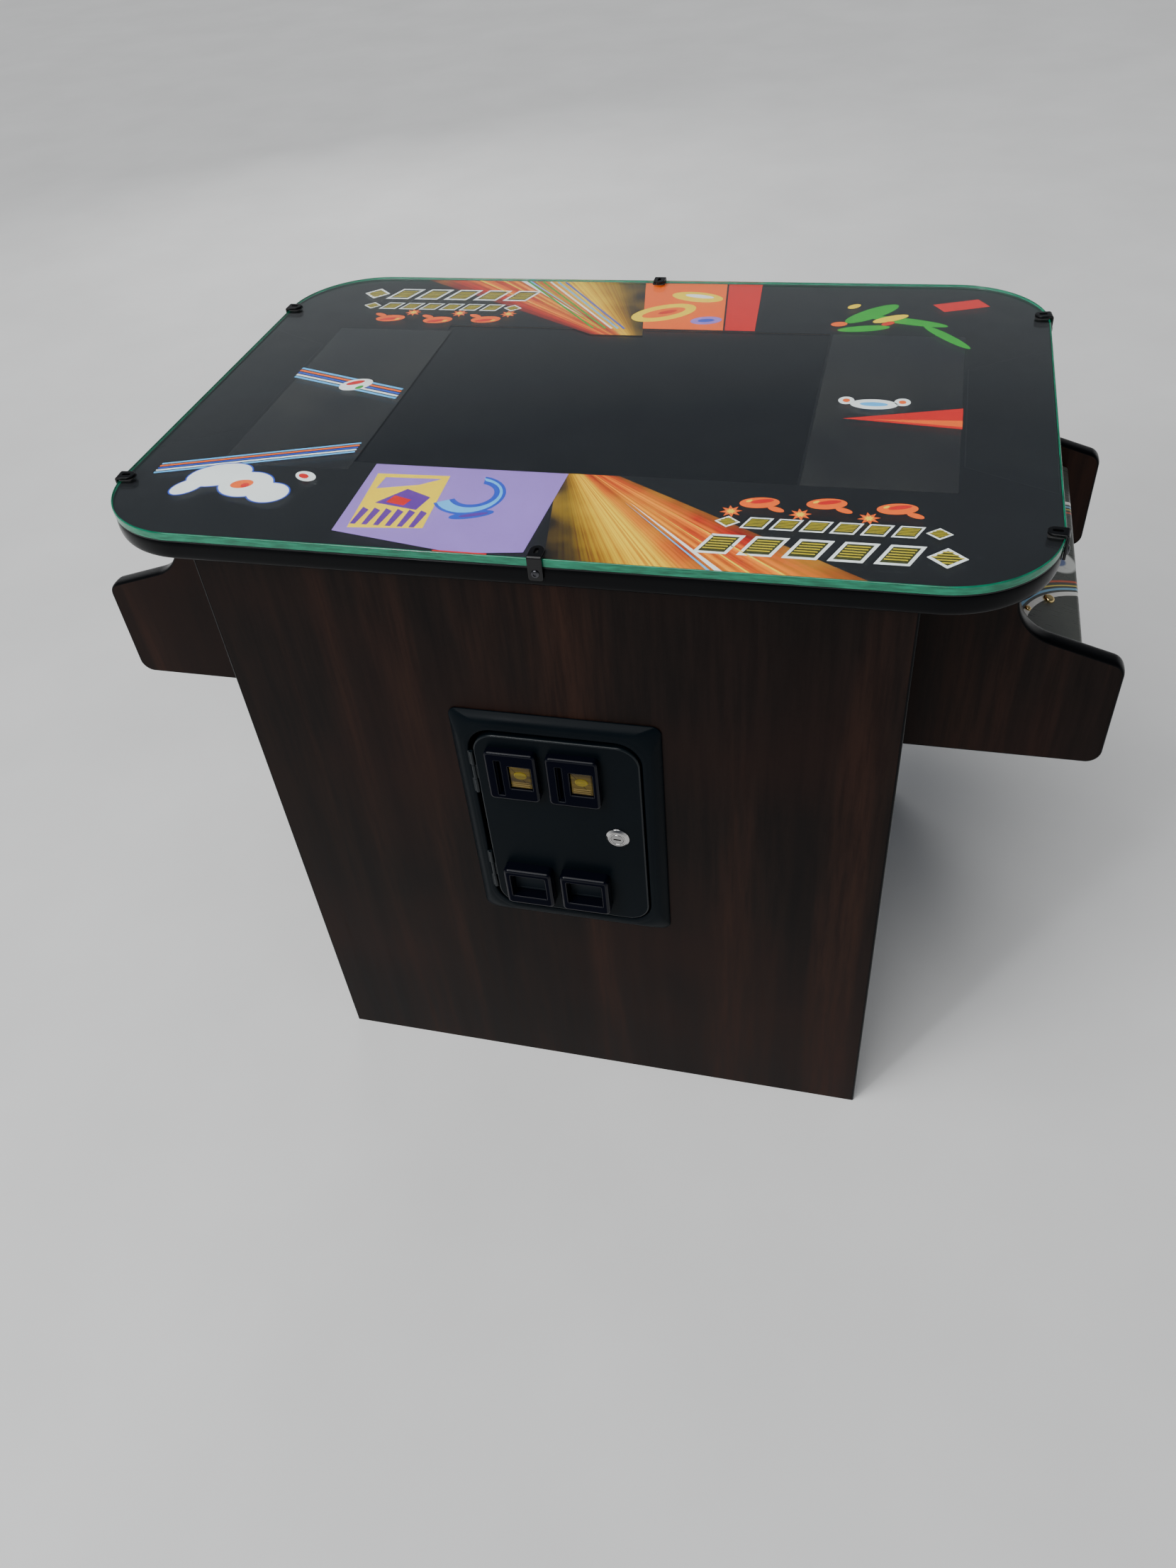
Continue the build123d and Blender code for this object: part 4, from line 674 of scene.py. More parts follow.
CLIP_TAB, CLIP_LEG, CLIP_W, CLIP_T, CLIP_LIFT = 15.0, 23.0, 13.0, 2.4, 1.0
CLIP_GAP, CLIP_BEND_R, CLIP_FOOT_R = 0.3, 0.3, 2.2
CLIPS_RIGHT, CLIPS_LEFT, CLIPS_MIDDLE = (-207.0, 208.0), (-202.0, 190.0), ((-1, 10.0), (1, 0.0))


def clip_places():
    """Each clip's place: depth is along the glass's edge, u points out of the table, v up."""
    spots = []
    for sign, ys in ((1, CLIPS_RIGHT), (-1, CLIPS_LEFT)):
        for y in ys:
            past = max(abs(y) - (TOP_W / 2 - TOP_R), 0)
            turn = math.asin(past / TOP_R)
            x = sign * (TOP_L / 2 - TOP_R + TOP_R * math.cos(turn))
            out = (sign * math.cos(turn), math.copysign(math.sin(turn), y), 0)
            spots.append(place((x, y, GLASS_HIGH.z), out, (0, 0, 1)))
    for sign, x in CLIPS_MIDDLE:
        spots.append(place((x, sign * TOP_W / 2, GLASS_HIGH.z), (0, sign, 0), (0, 0, 1)))
    return spots


def clip_stations():
    """The strip's middle line, as (u, v, direction, half width), from the tab's tip to the leg's foot."""
    half, mid = CLIP_W / 2, CLIP_T / 2
    top, bend = CLIP_LIFT + mid, mid + CLIP_BEND_R
    stations = [(half - CLIP_TAB - half * c, top, 0.0, half * s) for s, c in quarter(8, 1)]
    for step, (s, c) in enumerate(quarter(6)):
        u = CLIP_GAP + mid - bend + bend * s
        stations.append((u, top - bend + bend * c, -math.pi / 2 * step / 6, half))
    foot = CLIP_LIFT + CLIP_T - CLIP_LEG + CLIP_FOOT_R
    for s, c in quarter(4):
        stations.append((CLIP_GAP + mid, foot - CLIP_FOOT_R * s, -math.pi / 2, half - CLIP_FOOT_R * (1 - c)))
    return stations


def make_clips():
    clips, cuts = Piece(), Piece()
    for where in clip_places():
        rings = []
        for u, v, turn, half in clip_stations():
            section = rounded(2 * half, CLIP_T, min(0.7, half * 0.6), steps=3)
            normal = (-math.sin(turn), math.cos(turn))
            spots = [Vector((u + normal[0] * h, v + normal[1] * h, w)) for w, h in section]
            rings.append([clips.bm.verts.new(where @ spot) for spot in spots])
        clips.wall(rings)
        clips.cap(rings[:1])
        clips.cap(rings[-1:])
        slot = where @ place((-7, 0, 0), (1, 0, 0), (0, 0, -1))
        cuts.slab(slot, [rounded(8.5, 3.5, 1.74)], 0, CLIP_LIFT + CLIP_T + 2, (0, 0))
    solid, cutter = (new_object("helper", piece.mesh("helper")) for piece in (clips, cuts))
    carve = solid.modifiers.new("slots", "BOOLEAN")
    carve.operation, carve.solver, carve.object = "DIFFERENCE", "EXACT", cutter
    bpy.context.view_layer.update()
    cut = bpy.data.meshes.new_from_object(solid.evaluated_get(bpy.context.evaluated_depsgraph_get()))
    cut.materials.clear()
    for helper in (solid, cutter):
        bpy.data.objects.remove(helper)
    settle(new_object("glass_clip_set", cut), "lid", "black_plastic", ["glass_clips"], ("clip",))


def make_clip_screws():
    """Pan-head screws, each with a shallow dish in its head, in the clips' legs."""
    screws = Piece()
    shank, rim = [(0.2, -8.0), (1.8, -8.0), (1.8, 0.05)], [(3.8, 0.05), (3.75, 0.5), (3.4, 1.1)]
    dish = [(2.6, 1.55), (1.5, 1.75), (1.35, 0.9), (0.2, 0.8)]
    at = (CLIP_GAP + CLIP_T, CLIP_LIFT + CLIP_T - 0.75 * CLIP_LEG + 1, 0)
    for where in clip_places():
        screws.turn(where @ place(at, (0, 0, -1), (0, 1, 0)), shank + rim + dish, 24)
    screws.done("clip_screw_set", "lid", "steel", ["clip_screws"], ("black_screw",))


# ---- coin door ----
# the second paint, on rounded rims and hinge knuckles, is glossier and has a lighter colour that is a painted
# highlight
COATED = ("black_coat", "worn_edge_and_highlight")
LOCK_AT, LOCK_BACK, LOCK_BARREL_R, LOCK_NUT_R = (60.0, 421.0), -18.5, 9.0, 13.0
HINGE_X, HINGE_D, KNUCKLE_R = -79.2, 11.0, 2.1
HINGE_FEET, KNUCKLE_L, KNUCKLE_GAP = (322.6, 463.0), 18.0, 0.1
ENTRY_D, CUP_D = 8.5, 13.0
SLOT_DX, WINDOW_DX = -12.7, 8.5


def round_turn(radius, length, edge):
    """(radius, depth) points of a plain pin with rounded ends."""
    profile = round_edges(0, length, edge, edge, 2)
    return [(radius - inset if inset < radius else 0.01, depth) for inset, depth in profile]


def hinge_barrels(piece, numbers, leaf_to):
    """Upright knuckles at the coin door's hinge line, each with its narrow leaf."""
    axis = place((HINGE_X, FRONT_Y - HINGE_D, 0), (1, 0, 0), (0, 1, 0))
    leaf = rounded(abs(leaf_to), 1.5, 0.3, (leaf_to / 2, 0.6), 2)
    length = KNUCKLE_L - 2 * KNUCKLE_GAP
    for foot in (z + number * KNUCKLE_L + KNUCKLE_GAP for z in HINGE_FEET for number in numbers):
        piece.turn(axis, [(r, foot + d) for r, d in round_turn(KNUCKLE_R, length, 0.35)], 20)
        piece.slab(axis, [leaf], foot + 0.2, foot + length - 0.2, (0.1, 0.1), 1)


def make_coin_frame():
    """A pressed surround: a flat foot, a swept flank, a narrow crest and a round step to the door."""
    surround = Piece()

    def ring(width, height, radius, depth):
        return rounded(width, height, radius, FRAME_AT, 10), depth

    rings = [ring(176, 255.5, 29, -17.0), ring(176, 255.5, 29, 0.0), ring(205.4, 283.4, 8.7, 0.0)]
    rings += [ring(206, 284, 9, 0.3), ring(206, 284, 9, 1.2), ring(205.6, 283.6, 9, 1.7)]
    for step in range(1, 13):
        share = step / 12
        rise = 1.7 + 7.9 * math.sin(share * math.pi / 2) ** 0.85
        rings.append(ring(205.6 - 24.2 * share, 283.6 - 22.7 * share, 9 + 18.5 * share, rise))
    rings += [ring(180, 259.5, 27.7, 9.85), ring(177.5, 257, 27.5, 10.0), ring(173.2, 252.7, 27, 10.0)]
    rings += [ring(173.2 - 3.2 * s, 252.7 - 3.2 * s, 26.5, 8.4 + 1.6 * c) for s, c in quarter(4, 1)]
    surround.loft(FRONT, rings + [ring(170, 249.5, 26, -17.0)], ends=False)
    surround.paint = 1
    hinge_barrels(surround, (0, 2), -3.6)
    surround.done("coin_door_surround", "cabinet", "black_coat", ["coin_frame"], COATED, 40)


def make_coin_door():
    door = Piece()
    outline = rounded(163.5, 241.8, 23, DOOR_AT, 12)
    holes = []
    for x in COIN_X.values():
        holes.append(rounded(42, 48, 1, (x, ENTRY_Z), 2))
        holes.append(rounded(43, 45, 1, (x, CUP_Z), 2))
    holes.append(ellipse(18.4, 18.4, LOCK_AT))
    sheet = DOOR_D - 2
    door.slab(FRONT, [outline] + holes, sheet, DOOR_D, (0, [1.6] + [0] * len(holes)), 4, rim=1)
    door.slab(FRONT, [outline, rounded(159.5, 237.8, 21, DOOR_AT, 12)], 0, sheet, (0.3, 0), 2)
    door.paint = 1
    hinge_barrels(door, (1,), 4.0)
    door.done("coin_door_leaf", "coin_door", "black_coat", ["coin_door"], COATED, 40)


def make_coin_entries():
    """Slot bezels: a deep rounded housing, a framed slot and a framed opening for the reject button."""
    entries = Piece()
    top = DOOR_D + ENTRY_D
    for x in COIN_X.values():
        slot_at = (x + SLOT_DX, ENTRY_Z - 2)
        slot, window = rounded(6.4, 45, 0.8, slot_at, 3), rounded(22.5, 29, 0.8, (x + WINDOW_DX, ENTRY_Z), 3)
        loops = [rounded(51.5, 61, 5, (x, ENTRY_Z), 6), slot, window]
        entries.slab(FRONT, loops, DOOR_D, top, (0, [2.6, 0.7, 0.9]), 4, rim=2)
        entries.slab(FRONT, [slot, rounded(3, 42, 0.4, slot_at, 2)], DOOR_D + 0.3, top - 2.4, (0, 0.4), 2)
        lip = [rounded(8.6, 47.2, 1.6, slot_at, 3), rounded(6.8, 45.4, 0.9, slot_at, 3)]
        entries.paint = 1
        entries.slab(FRONT, lip, top - 0.8, top - 0.02, (0, 0.3), 2)
        entries.paint = 0
    paints = ("black_plastic", "flap", "gloss_edge")
    entries.done("coin_entry_bezels", "coin_door", "black_plastic", ["coin_entries"], paints)


def make_reject_buttons():
    """Amber buttons with a raised oval, as a lens has, in a square face with a bevelled rim."""
    face = DOOR_D + ENTRY_D - 0.6
    dome = [(1.0, 0.0), (0.97, 0.35), (0.88, 0.62), (0.80, 0.70), (0.72, 0.62), (0.64, 0.52)]
    dome += [(0.4, 0.68), (0.05, 0.75)]
    for side, x in COIN_X.items():
        lens = Piece()
        x += WINDOW_DX
        lens.slab(FRONT, [rounded(21.7, 28.2, 0.8, (x, ENTRY_Z), 3)], 5, face - 1.3, (0, 1.2), 3)
        ovals = [(ellipse(13.5 * k, 9.5 * k, (x, ENTRY_Z + 2.5), 40), face - 1.4 + rise) for k, rise in dome]
        lens.paint = 1
        lens.loft(FRONT, [(ovals[0][0], face - 2.6)] + ovals)
        lens.paint = 2
        for row in (-6.5, -9.0, -11.3):
            bar = rounded(17, 0.9, 0.4, (x, ENTRY_Z + row), 3)
            lens.slab(FRONT, [bar], face - 2, face - 1.0, (0, 0.25), 2)
        ambers = ("amber_plastic", "amber_oval", "amber_bar")
        node = f"reject_button_{side}"
        lens.done(f"reject_lens_{side}", f"reject_{side}", "amber_plastic", [node], ambers)


def make_coin_cups():
    """Coin return cups: a deep rounded housing round a pocket, and a chute behind the door."""
    cups = Piece()
    for x in COIN_X.values():
        outer, pocket = rounded(52, 51, 5.5, (x, CUP_Z), 6), rounded(37, 31, 1.4, (x, CUP_Z + 2.5), 3)
        cups.slab(FRONT, [outer, pocket], DOOR_D, DOOR_D + CUP_D, (0, [3.4, 1.1]), 5, rim=1)
        chute = [rounded(42, 41, 1, (x, CUP_Z + 2), 3), rounded(38, 37, 0.8, (x, CUP_Z + 2), 3)]
        cups.slab(FRONT, chute, -20, DOOR_D - 0.02, (0, 0), 1)
        cups.slab(FRONT, [chute[0]], -22, -20.02, (0.3, 0), 2)
    paints = ("black_plastic", "gloss_edge")
    cups.done("coin_return_cups", "coin_door", "black_plastic", ["coin_cups"], paints)
    for side, x in COIN_X.items():
        flap = Piece()
        flap.slab(FRONT, [rounded(36.4, 33.2, 0.8, (x, 342), 3)], 11.2, 12.8, (0.2, 0.5), 3)
        flap.slab(FRONT, [rounded(30, 2.2, 1.0, (x, 327.6), 4)], 12.4, 13.3, (0, 0.4), 3)
        axle = place((x - 20.6, FRONT_Y - DOOR_D, 357.5), (0, 1, 0), (0, 0, 1))
        flap.turn(axle, round_turn(1.2, 41.2, 0.3), 16)
        node = f"return_flap_{side}"
        flap.done(f"return_flap_plate_{side}", f"flap_{side}", "black_plastic", [node], ("flap",))


LID_HINGE_X, LEAF_W, LEAF_T = 200.0, 60.0, 1.5


def make_hinge_screws():
    """Four domed screws with a cross recess in each fixed leaf of the lid's hinges."""
    screws = Piece()
    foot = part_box("lid_hinges_fixed")[0].z * 1000
    arm, slit = 1.9, 0.5
    corner = [(arm, slit), (slit, slit), (slit, arm)]
    turns = [Matrix.Rotation(math.radians(90 * k), 2) for k in range(4)]
    for hinge_x in (-LID_HINGE_X, LID_HINGE_X):
        for x, z in ((side * LEAF_W * 0.32, foot + rise) for side in (-1, 1) for rise in (9, 28)):
            at = Vector((hinge_x + x, z))
            recess = [tuple(at + turn @ Vector(point)) for turn in turns for point in corner]
            screws.slab(REAR, [ellipse(7.4, 7.4, at, 24), recess], LEAF_T, LEAF_T + 1.2, (0, 0.7))
    screws.done("hinge_screw_set", "cabinet", "steel", paints=("black_screw",))


def make_lock():
    """The lock's housing: a bevelled rim, a groove and an inner ring, on a barrel with its nut."""
    lock = Piece()
    bore = LOCK_BARREL_R - 2.42
    rim = [(12.0, 0.0), (12.0, 0.6), (11.7, 1.1), (9.7, 2.5), (9.3, 2.85), (8.8, 3.0), (8.4, 2.9), (8.2, 2.3)]
    rim += [(7.9, 2.3), (7.7, 2.85), (7.2, 3.0), (6.8, 2.9), (bore, 2.6)]
    profile = [(bore, LOCK_BACK), (LOCK_BARREL_R, LOCK_BACK), (LOCK_BARREL_R, DOOR_D)]
    profile += [(radius, DOOR_D + rise) for radius, rise in rim]
    lock.turn(FRONT, profile, 48, LOCK_AT, ends=False)
    nut = [ellipse(2 * LOCK_NUT_R, 2 * LOCK_NUT_R, LOCK_AT, 6), ellipse(18.1, 18.1, LOCK_AT, 32)]
    lock.slab(FRONT, nut, 5.5, 10.0, (0.3, 0.3), 2)
    lock.done("lock_housing", "coin_door", "chrome", ["lock_body"])


make_panels()
make_cheeks()
make_tabletop()
make_clips()
make_clip_screws()
make_coin_frame()
make_coin_door()
make_coin_entries()
make_reject_buttons()
make_coin_cups()
make_lock()
make_hinge_screws()


# ---- the printed sheet under the glass: abstract patterns in ink, each layer a hair over the last ----
SHEET_TOP = BOARD_Z + 0.75
INK_STEP = 0.035
INKS = {
    "paper_black": (0.006, 0.006, 0.007),
    "white": (0.86, 0.88, 0.90),
    "gold": (0.50, 0.38, 0.006),
    "yellow": (1.0, 0.62, 0.008),
    "orange": (0.95, 0.12, 0.002),
    "red": (0.60, 0.006, 0.003),
    "lilac": (0.30, 0.17, 0.56),
    "purple": (0.11, 0.022, 0.28),
    "blue": (0.015, 0.06, 0.50),
    "sky": (0.10, 0.44, 0.90),
    "green": (0.012, 0.32, 0.016),
    "olive": (0.035, 0.037, 0.004),
}
FAN_FOCUS = (-15.0, -108.0)  # where the near fan of streaks would meet, under the display
FAN_STEEP, FAN_LEVEL = 80, 30  # its first and last streaks, in degrees below level


def ink(name, colour):
    """Printed ink: slight mottle, a fine halftone and the sheet's satin gloss."""
    n = Nodes(f"ink_{name}")
    mottle = n.noise(26.0)
    dots = n.noise(2600.0, detail=1.0)
    pale = tuple(min(1, c * 1.25 + 0.004) for c in colour)
    deep = tuple(c * 0.72 for c in colour)
    shade = n.mix(n.span(dots, 0.35, 0.65, 0.0, 0.5), n.mix(mottle, colour, pale), deep)
    return n.finish(shade, (mottle, 0.30, 0.42), (dots, 0.08, 0.00003))


WARM_FAN = (
    (0.00, (0.012, 0.006, 0.001)),
    (0.16, (0.07, 0.04, 0.001)),
    (0.30, (0.42, 0.22, 0.001)),
    (0.44, (0.95, 0.56, 0.002)),
    (0.54, (0.98, 0.60, 0.003)),
    (0.60, (0.75, 0.13, 0.001)),
    (0.68, (0.40, 0.020, 0.001)),
    (0.73, (1.0, 0.28, 0.002)),
    (0.79, (0.60, 0.020, 0.001)),
    (0.84, (1.0, 0.22, 0.002)),
    (0.90, (0.55, 0.015, 0.001)),
    (1.00, (0.010, 0.003, 0.002)),
)


def fan_ink(name, focus, turn):
    """Streaks of light that spread from a point: colour by angle, with fine rays along them."""
    n = Nodes(name)
    spot = n.local((focus[0] * MM, focus[1] * MM, 0), (0, 0, turn))
    angle = n.add("TexGradient", {"Vector": spot}, gradient_type="RADIAL").outputs["Fac"]
    inputs = {"W": angle, "Scale": 420.0, "Detail": 3.0}
    rays = n.add("TexNoise", inputs, noise_dimensions="1D").outputs["Fac"]
    cloud = n.noise(9.0, detail=3.0)
    colour = n.ramp(n.span(angle, 0.5 - FAN_STEEP / 360, 0.5 - FAN_LEVEL / 360), *WARM_FAN)
    colour = n.mix(n.span(rays, 0.40, 0.66, 0.0, 0.75), colour, (0.45, 0.10, 0.01), "MULTIPLY")
    colour = n.mix(n.span(cloud, 0.50, 0.68, 0.0, 0.25), colour, (1.0, 0.55, 0.02), "SCREEN")
    n.set(Base_Color=colour, Roughness=0.34, Normal=n.bump(rays, 0.03, 0.00002))
    return n.material


MATERIALS.update({name: ink(name, colour) for name, colour in INKS.items()})
MATERIALS["film"] = film_gloss("textured_film")
MATERIALS["fan_near"] = fan_ink("light_fan_near", FAN_FOCUS, 0.0)
MATERIALS["fan_far"] = fan_ink("light_fan_far", (-FAN_FOCUS[0], -FAN_FOCUS[1]), math.pi)


class Print:
    """Collects flat ink shapes, as thin closed plates let into the sheet."""

    def __init__(self, turns, *extra):
        self.piece = Piece()
        self.paints = [*INKS, *extra]
        self.places = [place((0, 0, 0), (sign, 0, 0), (0, sign, 0)) for sign in turns]
        self.count = 0  # each shape lies a little higher than the last, so that no two tops are level

    def shape(self, paint, layer, *loops):
        self.piece.paint = self.paints.index(paint)
        self.count += 1
        top = SHEET_TOP + INK_STEP * (layer + 1 + 0.2 * (self.count % 4))
        for where in self.places:
            self.piece.slab(where, loops, SHEET_TOP - 0.2, top, (0, 0), 1)

    def stripe(self, paint, layer, start, end, width):
        """A bar from start to end, on the left of that line."""
        a, b = Vector(start), Vector(end)
        side = (b - a).normalized().orthogonal() * width
        self.shape(paint, layer, [tuple(corner) for corner in (a, b, b + side, a + side)])

    def ovals(self, *rows):
        for paint, layer, width, height, x, y, lean in rows:
            self.shape(paint, layer, ellipse(width, height, (x, y), lean=lean))

    def done(self, name):
        self.piece.done(name, "lid", "art_print", paints=self.paints)


def block(art, left, low, width, height, kind):
    """One block of the border pattern: a white edge, a dark middle and gold stripes."""
    x, y = left + width / 2, low + height / 2
    lean, reach, edge = height * 0.42, width * 0.40, height * 0.10
    if kind == "gem":
        outline = [(x + reach, y), (x, y + height / 2), (x - reach, y), (x, y - height / 2)]
    else:
        right, top = left + width, low + height
        outline = [(left, low), (right - lean, low), (right, top), (left + lean, top)]
    art.shape("white", 1, outline)
    art.shape("olive", 2, shifted(turned_left(outline), edge))
    for share in (0.24 + 0.13 * row for row in range(5)):
        level = low + height * share
        if kind == "gem":
            half = reach * (1 - abs(2 * share - 1)) - edge * 1.2
            start, end = x - half, x + half
        else:
            start = left + lean * share + edge * 1.6
            end = start + width - lean - 3.2 * edge
        art.stripe("gold", 3, (start, level), (end, level), height * 0.055)


def make_title_blocks(art):
    """Two rows of slanting bars and gems where such a table has its title, then sparks and beans."""
    for number in range(6):
        block(art, 134 + 36 * number, -259, 40, 29, "gem" if number == 5 else "bar")
    for number in range(8):
        block(art, 142 + 24.5 * number, -219, 27, 17.5, "gem" if number in (0, 7) else "bar")
    for x, y in ((156, -194), (214, -193), (270, -193)):
        art.shape("orange", 1, star((x, y), 9.5, 4.6, 8, 0.2))
        art.shape("yellow", 2, star((x, y), 4.6, 2.4, 8, 0.5))
    for x, y in ((178, -178), (234, -174), (292, -176)):
        art.ovals(
            ("orange", 1, 34, 17, x, y, 0.16),
            ("red", 2, 20, 6, x + 2, y + 2.5, 0.3),
            ("orange", 1, 15, 7, x + 15, y - 9, -0.4),
            ("yellow", 2, 6, 3, x - 9, y + 2, 0.6),
        )


def fan_edge(degrees, y):
    """Where a streak from the focus, so far below level, meets a line across the sheet."""
    return FAN_FOCUS[0] + (FAN_FOCUS[1] - y) / math.tan(math.radians(degrees)), y


def make_fan(art, paint):
    """The patch that the streaks are printed on, and single bright streaks over it."""
    near, far = -146.5, -288.6
    corners = ((FAN_STEEP, far), (FAN_LEVEL + 1, far + 2), (FAN_LEVEL + 1, near), (FAN_STEEP, near))
    art.shape(paint, 0, [fan_edge(*corner) for corner in corners])
    bright = ((44.6, 45.6, "white"), (46.2, 46.7, "sky"), (41.2, 41.6, "yellow"), (37.5, 37.9, "yellow"))
    for low, high, colour in bright:
        art.shape(colour, 1, [fan_edge(high, far + 1), fan_edge(low, far + 1), fan_edge(low, -190)])


def make_corner_bands(art):
    """Slanting bands of light at the left end, and a pale cluster of round shapes over them."""
    for number, colour in enumerate(("sky", "white", "blue", "orange", "sky")):
        low, high = 4.2 * number, 5 * number
        art.stripe(colour, 1, (-398, low - 186), (-214, low - 128), 2.6)
        art.stripe(colour, 1, (-344, high + 22), (-214, high - 18), 3.2)
    puffs = [(62, 40, -330, -182, 0.4), (52, 44, -296, -196, 0.1)]
    puffs += [(40, 34, -268, -208, 0), (34, 22, -352, -206, 0.9)]
    for w, h, x, y, lean in puffs:
        art.ovals(("blue", 2, w + 3, h + 3, x, y, lean), ("white", 3, w, h, x, y, lean))
    art.ovals(
        ("orange", 4, 22, 15, -300, -196, 0.3),
        ("red", 5, 8, 8, -296, -198, 0.0),
        ("white", 3, 24, 15, -244, -176, -0.5),
        ("red", 4, 12, 7, -246, -176, -0.5),
        ("white", 3, 36, 24, -268, 10, 0.5),
        ("red", 4, 20, 8, -270, 14, 0.5),
        ("green", 4, 10, 6, -262, 4, 0.9),
    )


def make_lilac_panel(art):
    """The near left panel: lilac ground, a barred yellow patch and a blue crescent swirl."""
    art.shape("lilac", 0, [(-182, -262), (-60, -284), (-4, -276), (2, -147), (-184, -147)])
    art.shape("yellow", 1, [(-170, -256), (-102, -250), (-106, -162), (-176, -164)])
    for number in range(6):
        x = -170 + 11 * number
        art.shape("purple", 2, [(x, -250), (x + 5, -250), (x + 9, -226), (x + 2, -222)])
    art.shape("purple", 2, [(-160, -214), (-118, -222), (-112, -200), (-138, -188)])
    art.shape("lilac", 2, [(-168, -190), (-130, -180), (-112, -168), (-166, -170)])
    art.shape("red", 3, [(-150, -212), (-132, -216), (-128, -206), (-146, -200)])
    turns = [0.2 * k - 2.6 for k in range(21)]
    for radius, thick, colour, layer in ((33, 15, "blue", 2), (30, 7, "sky", 3)):
        inner = radius - thick
        arc = [(-78 + radius * math.cos(t), -192 + radius * math.sin(t)) for t in turns]
        hollow = [(-74 + inner * math.cos(t), -190 + inner * math.sin(t)) for t in turns]
        art.shape(colour, layer, arc + hollow[::-1])
    art.ovals(("blue", 2, 40, 12, -66, -224, 0.35), ("purple", 3, 26, 5, -64, -224, 0.35))
    art.stripe("red", 1, (-82, -284.5), (-34, -284.5), 3.2)


def make_far_side(art):
    """The far middle and right: rainbow lines, a warm patch of shapes, and green leaves."""
    for number, colour in enumerate(("blue", "sky", "white", "green", "gold", "green")):
        art.stripe(colour, 1, (-14 - 7 * number, 163), (-112 - 9 * number, 287.5), 2.4)
    art.shape("orange", 0, [(-8, 164), (92, 164), (78, 287), (-34, 287)])
    art.shape("red", 0, [(94, 164), (126, 164), (118, 287), (80, 287)])
    art.ovals(
        ("yellow", 1, 74, 40, 20, 206, 0.5),
        ("orange", 2, 50, 20, 20, 206, 0.5),
        ("red", 3, 22, 8, 24, 208, 0.5),
        ("yellow", 1, 60, 26, 50, 250, -0.2),
        ("white", 2, 34, 9, 52, 252, -0.2),
        ("lilac", 1, 34, 20, 70, 188, 0.2),
        ("blue", 2, 18, 8, 70, 188, 0.2),
        ("green", 1, 70, 22, 244, 214, 0.75),
        ("green", 1, 84, 15, 282, 196, -0.25),
        ("green", 1, 70, 12, 322, 160, -0.85),
        ("green", 1, 54, 14, 238, 176, 0.2),
        ("yellow", 2, 40, 13, 264, 202, 0.5),
        ("red", 2, 15, 8, 262, 190, 0.6),
        ("yellow", 2, 16, 9, 224, 232, 0.7),
        ("orange", 1, 17, 11, 212, 186, 0.2),
    )
    art.shape("red", 1, [(318, 222), (364, 238), (352, 256), (306, 240)])


def make_end_cards(art):
    """Both ends: a strip of textured film beside the display, and a card window for the player."""
    art.shape("film", 0, [(208, -146), (340, -146), (340, 160), (208, 160)])
    card = [(344, -102), (421.5, -140), (421.5, 138), (344, 87)]
    art.shape("paper_black", 1, card, shifted(turned_left(card), 0.9))


def make_right_end(art):
    art.shape("red", 1, [(234, -22), (341, -34), (341, 6)])
    art.shape("orange", 2, [(262, -22), (341, -30), (341, -18)])
    art.ovals(("white", 3, 44, 20, 260, 8, 0.0), ("sky", 4, 26, 8, 260, 8, 0.0))
    for x in (234, 286):
        art.ovals(("white", 3, 15, 15, x, 14, 0.0), ("orange", 4, 7, 7, x, 14, 0.0))


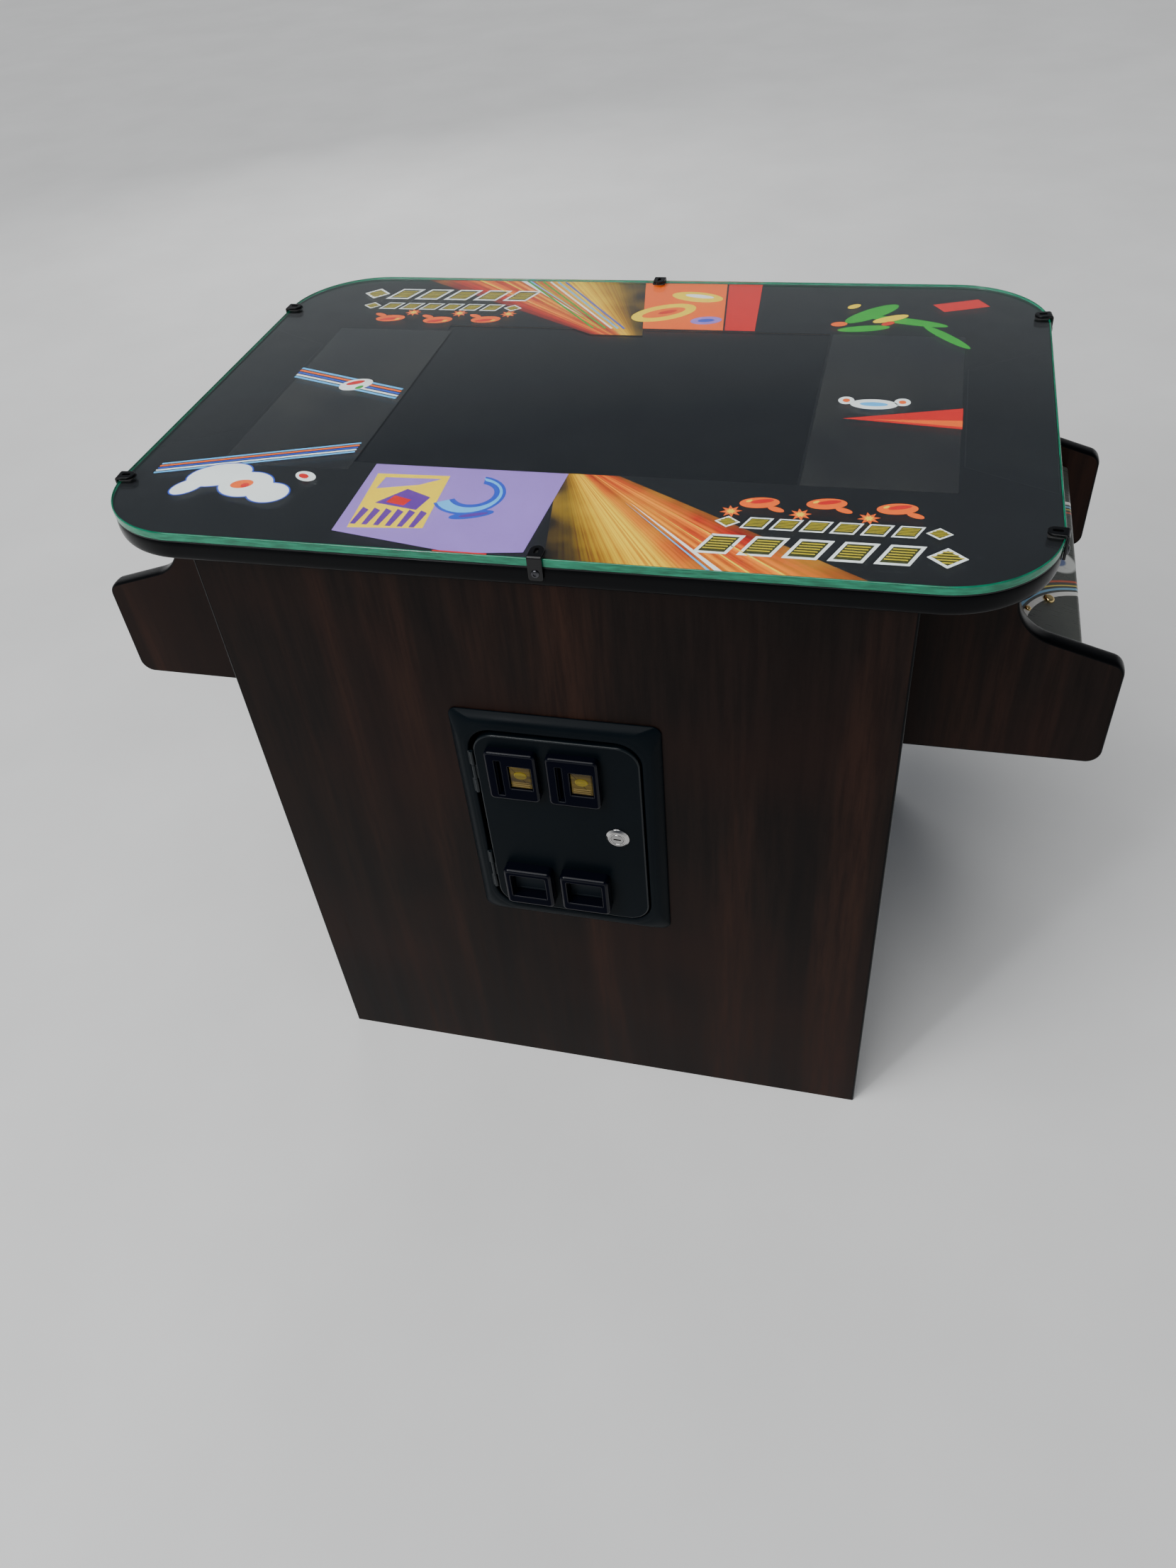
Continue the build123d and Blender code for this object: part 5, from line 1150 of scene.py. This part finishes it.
def make_art():
    sheet = Piece()
    loops = [rounded(TOP_L - 1, TOP_W - 1, TOP_R - 0.5, steps=24), rounded(419, 307, 1.0, SCREEN_AT, 2)]
    sheet.slab(FLAT, loops, BOARD_Z, SHEET_TOP, (0, 0), 1)
    sheet.done("art_sheet", "lid", "art_print", ["top_art"])

    border = Print((1, -1), "film")
    make_title_blocks(border)
    make_end_cards(border)
    border.done("border_pattern")

    for name, sign in (("near", 1), ("far", -1)):
        streaks = Print((sign,), f"fan_{name}")
        make_fan(streaks, f"fan_{name}")
        streaks.done(f"light_streaks_{name}")

    pictures = Print((1,))
    for make in (make_corner_bands, make_lilac_panel, make_far_side, make_right_end):
        make(pictures)
    pictures.done("picture_shapes")


make_art()


# ---- stage ----
def make_stage():
    bpy.ops.mesh.primitive_plane_add(size=60, location=(0, 0, -0.0005))
    floor = bpy.context.object
    floor.name = "studio_floor"
    n = Nodes("pale_floor")
    shade = n.ramp(n.noise(3.0), (0.3, (0.70, 0.70, 0.69)), (0.7, (0.76, 0.76, 0.75)))
    n.set(Base_Color=shade, Roughness=0.85)
    floor.data.materials.append(n.material)


def area_light(name, at, target, size, power, colour=(1, 1, 1)):
    light = bpy.data.lights.new(name, "AREA")
    light.shape = "ELLIPSE"
    light.size, light.size_y = size
    light.energy = power
    light.color = colour
    lamp = new_object(name, light)
    lamp.location = at
    lamp.rotation_euler = (Vector(target) - Vector(at)).to_track_quat("-Z", "Y").to_euler()
    lamp.visible_glossy = lamp.visible_transmission = size[0] < 1  # only the small light shows in the glass


def make_lights():
    """A pale horizon under a darker ceiling, a soft sun, and panels of light round the object."""
    n = Nodes("studio", bpy.data.worlds)
    height = n.add("SeparateXYZ", {"Vector": n.coordinates["Generated"]}).outputs["Z"]
    n.set(Color=n.ramp(height, (0.0, (0.74, 0.75, 0.76)), (0.45, (0.10, 0.11, 0.13))), Strength=0.95)
    bpy.context.scene.world = n.material
    sun = bpy.data.lights.new("soft_sun", "SUN")
    sun.energy, sun.angle = 2.35, math.radians(50)
    new_object("soft_sun", sun).rotation_euler = (math.radians(24), math.radians(-16), 0)
    middle = (0, 0, 0.5)
    area_light("key", (-2.4, -2.6, 2.6), middle, (1.8, 1.8), 60)
    area_light("edge", (-1.1, -2.2, 2.2), middle, (0.26, 0.26), 16, (0.95, 0.97, 1.0))
    area_light("back", (-1.6, 3.0, 1.7), middle, (2.0, 2.0), 26)
    area_light("fill", (2.8, -1.8, 1.5), middle, (1.6, 1.6), 7, (0.95, 0.97, 1.0))


make_stage()
make_lights()
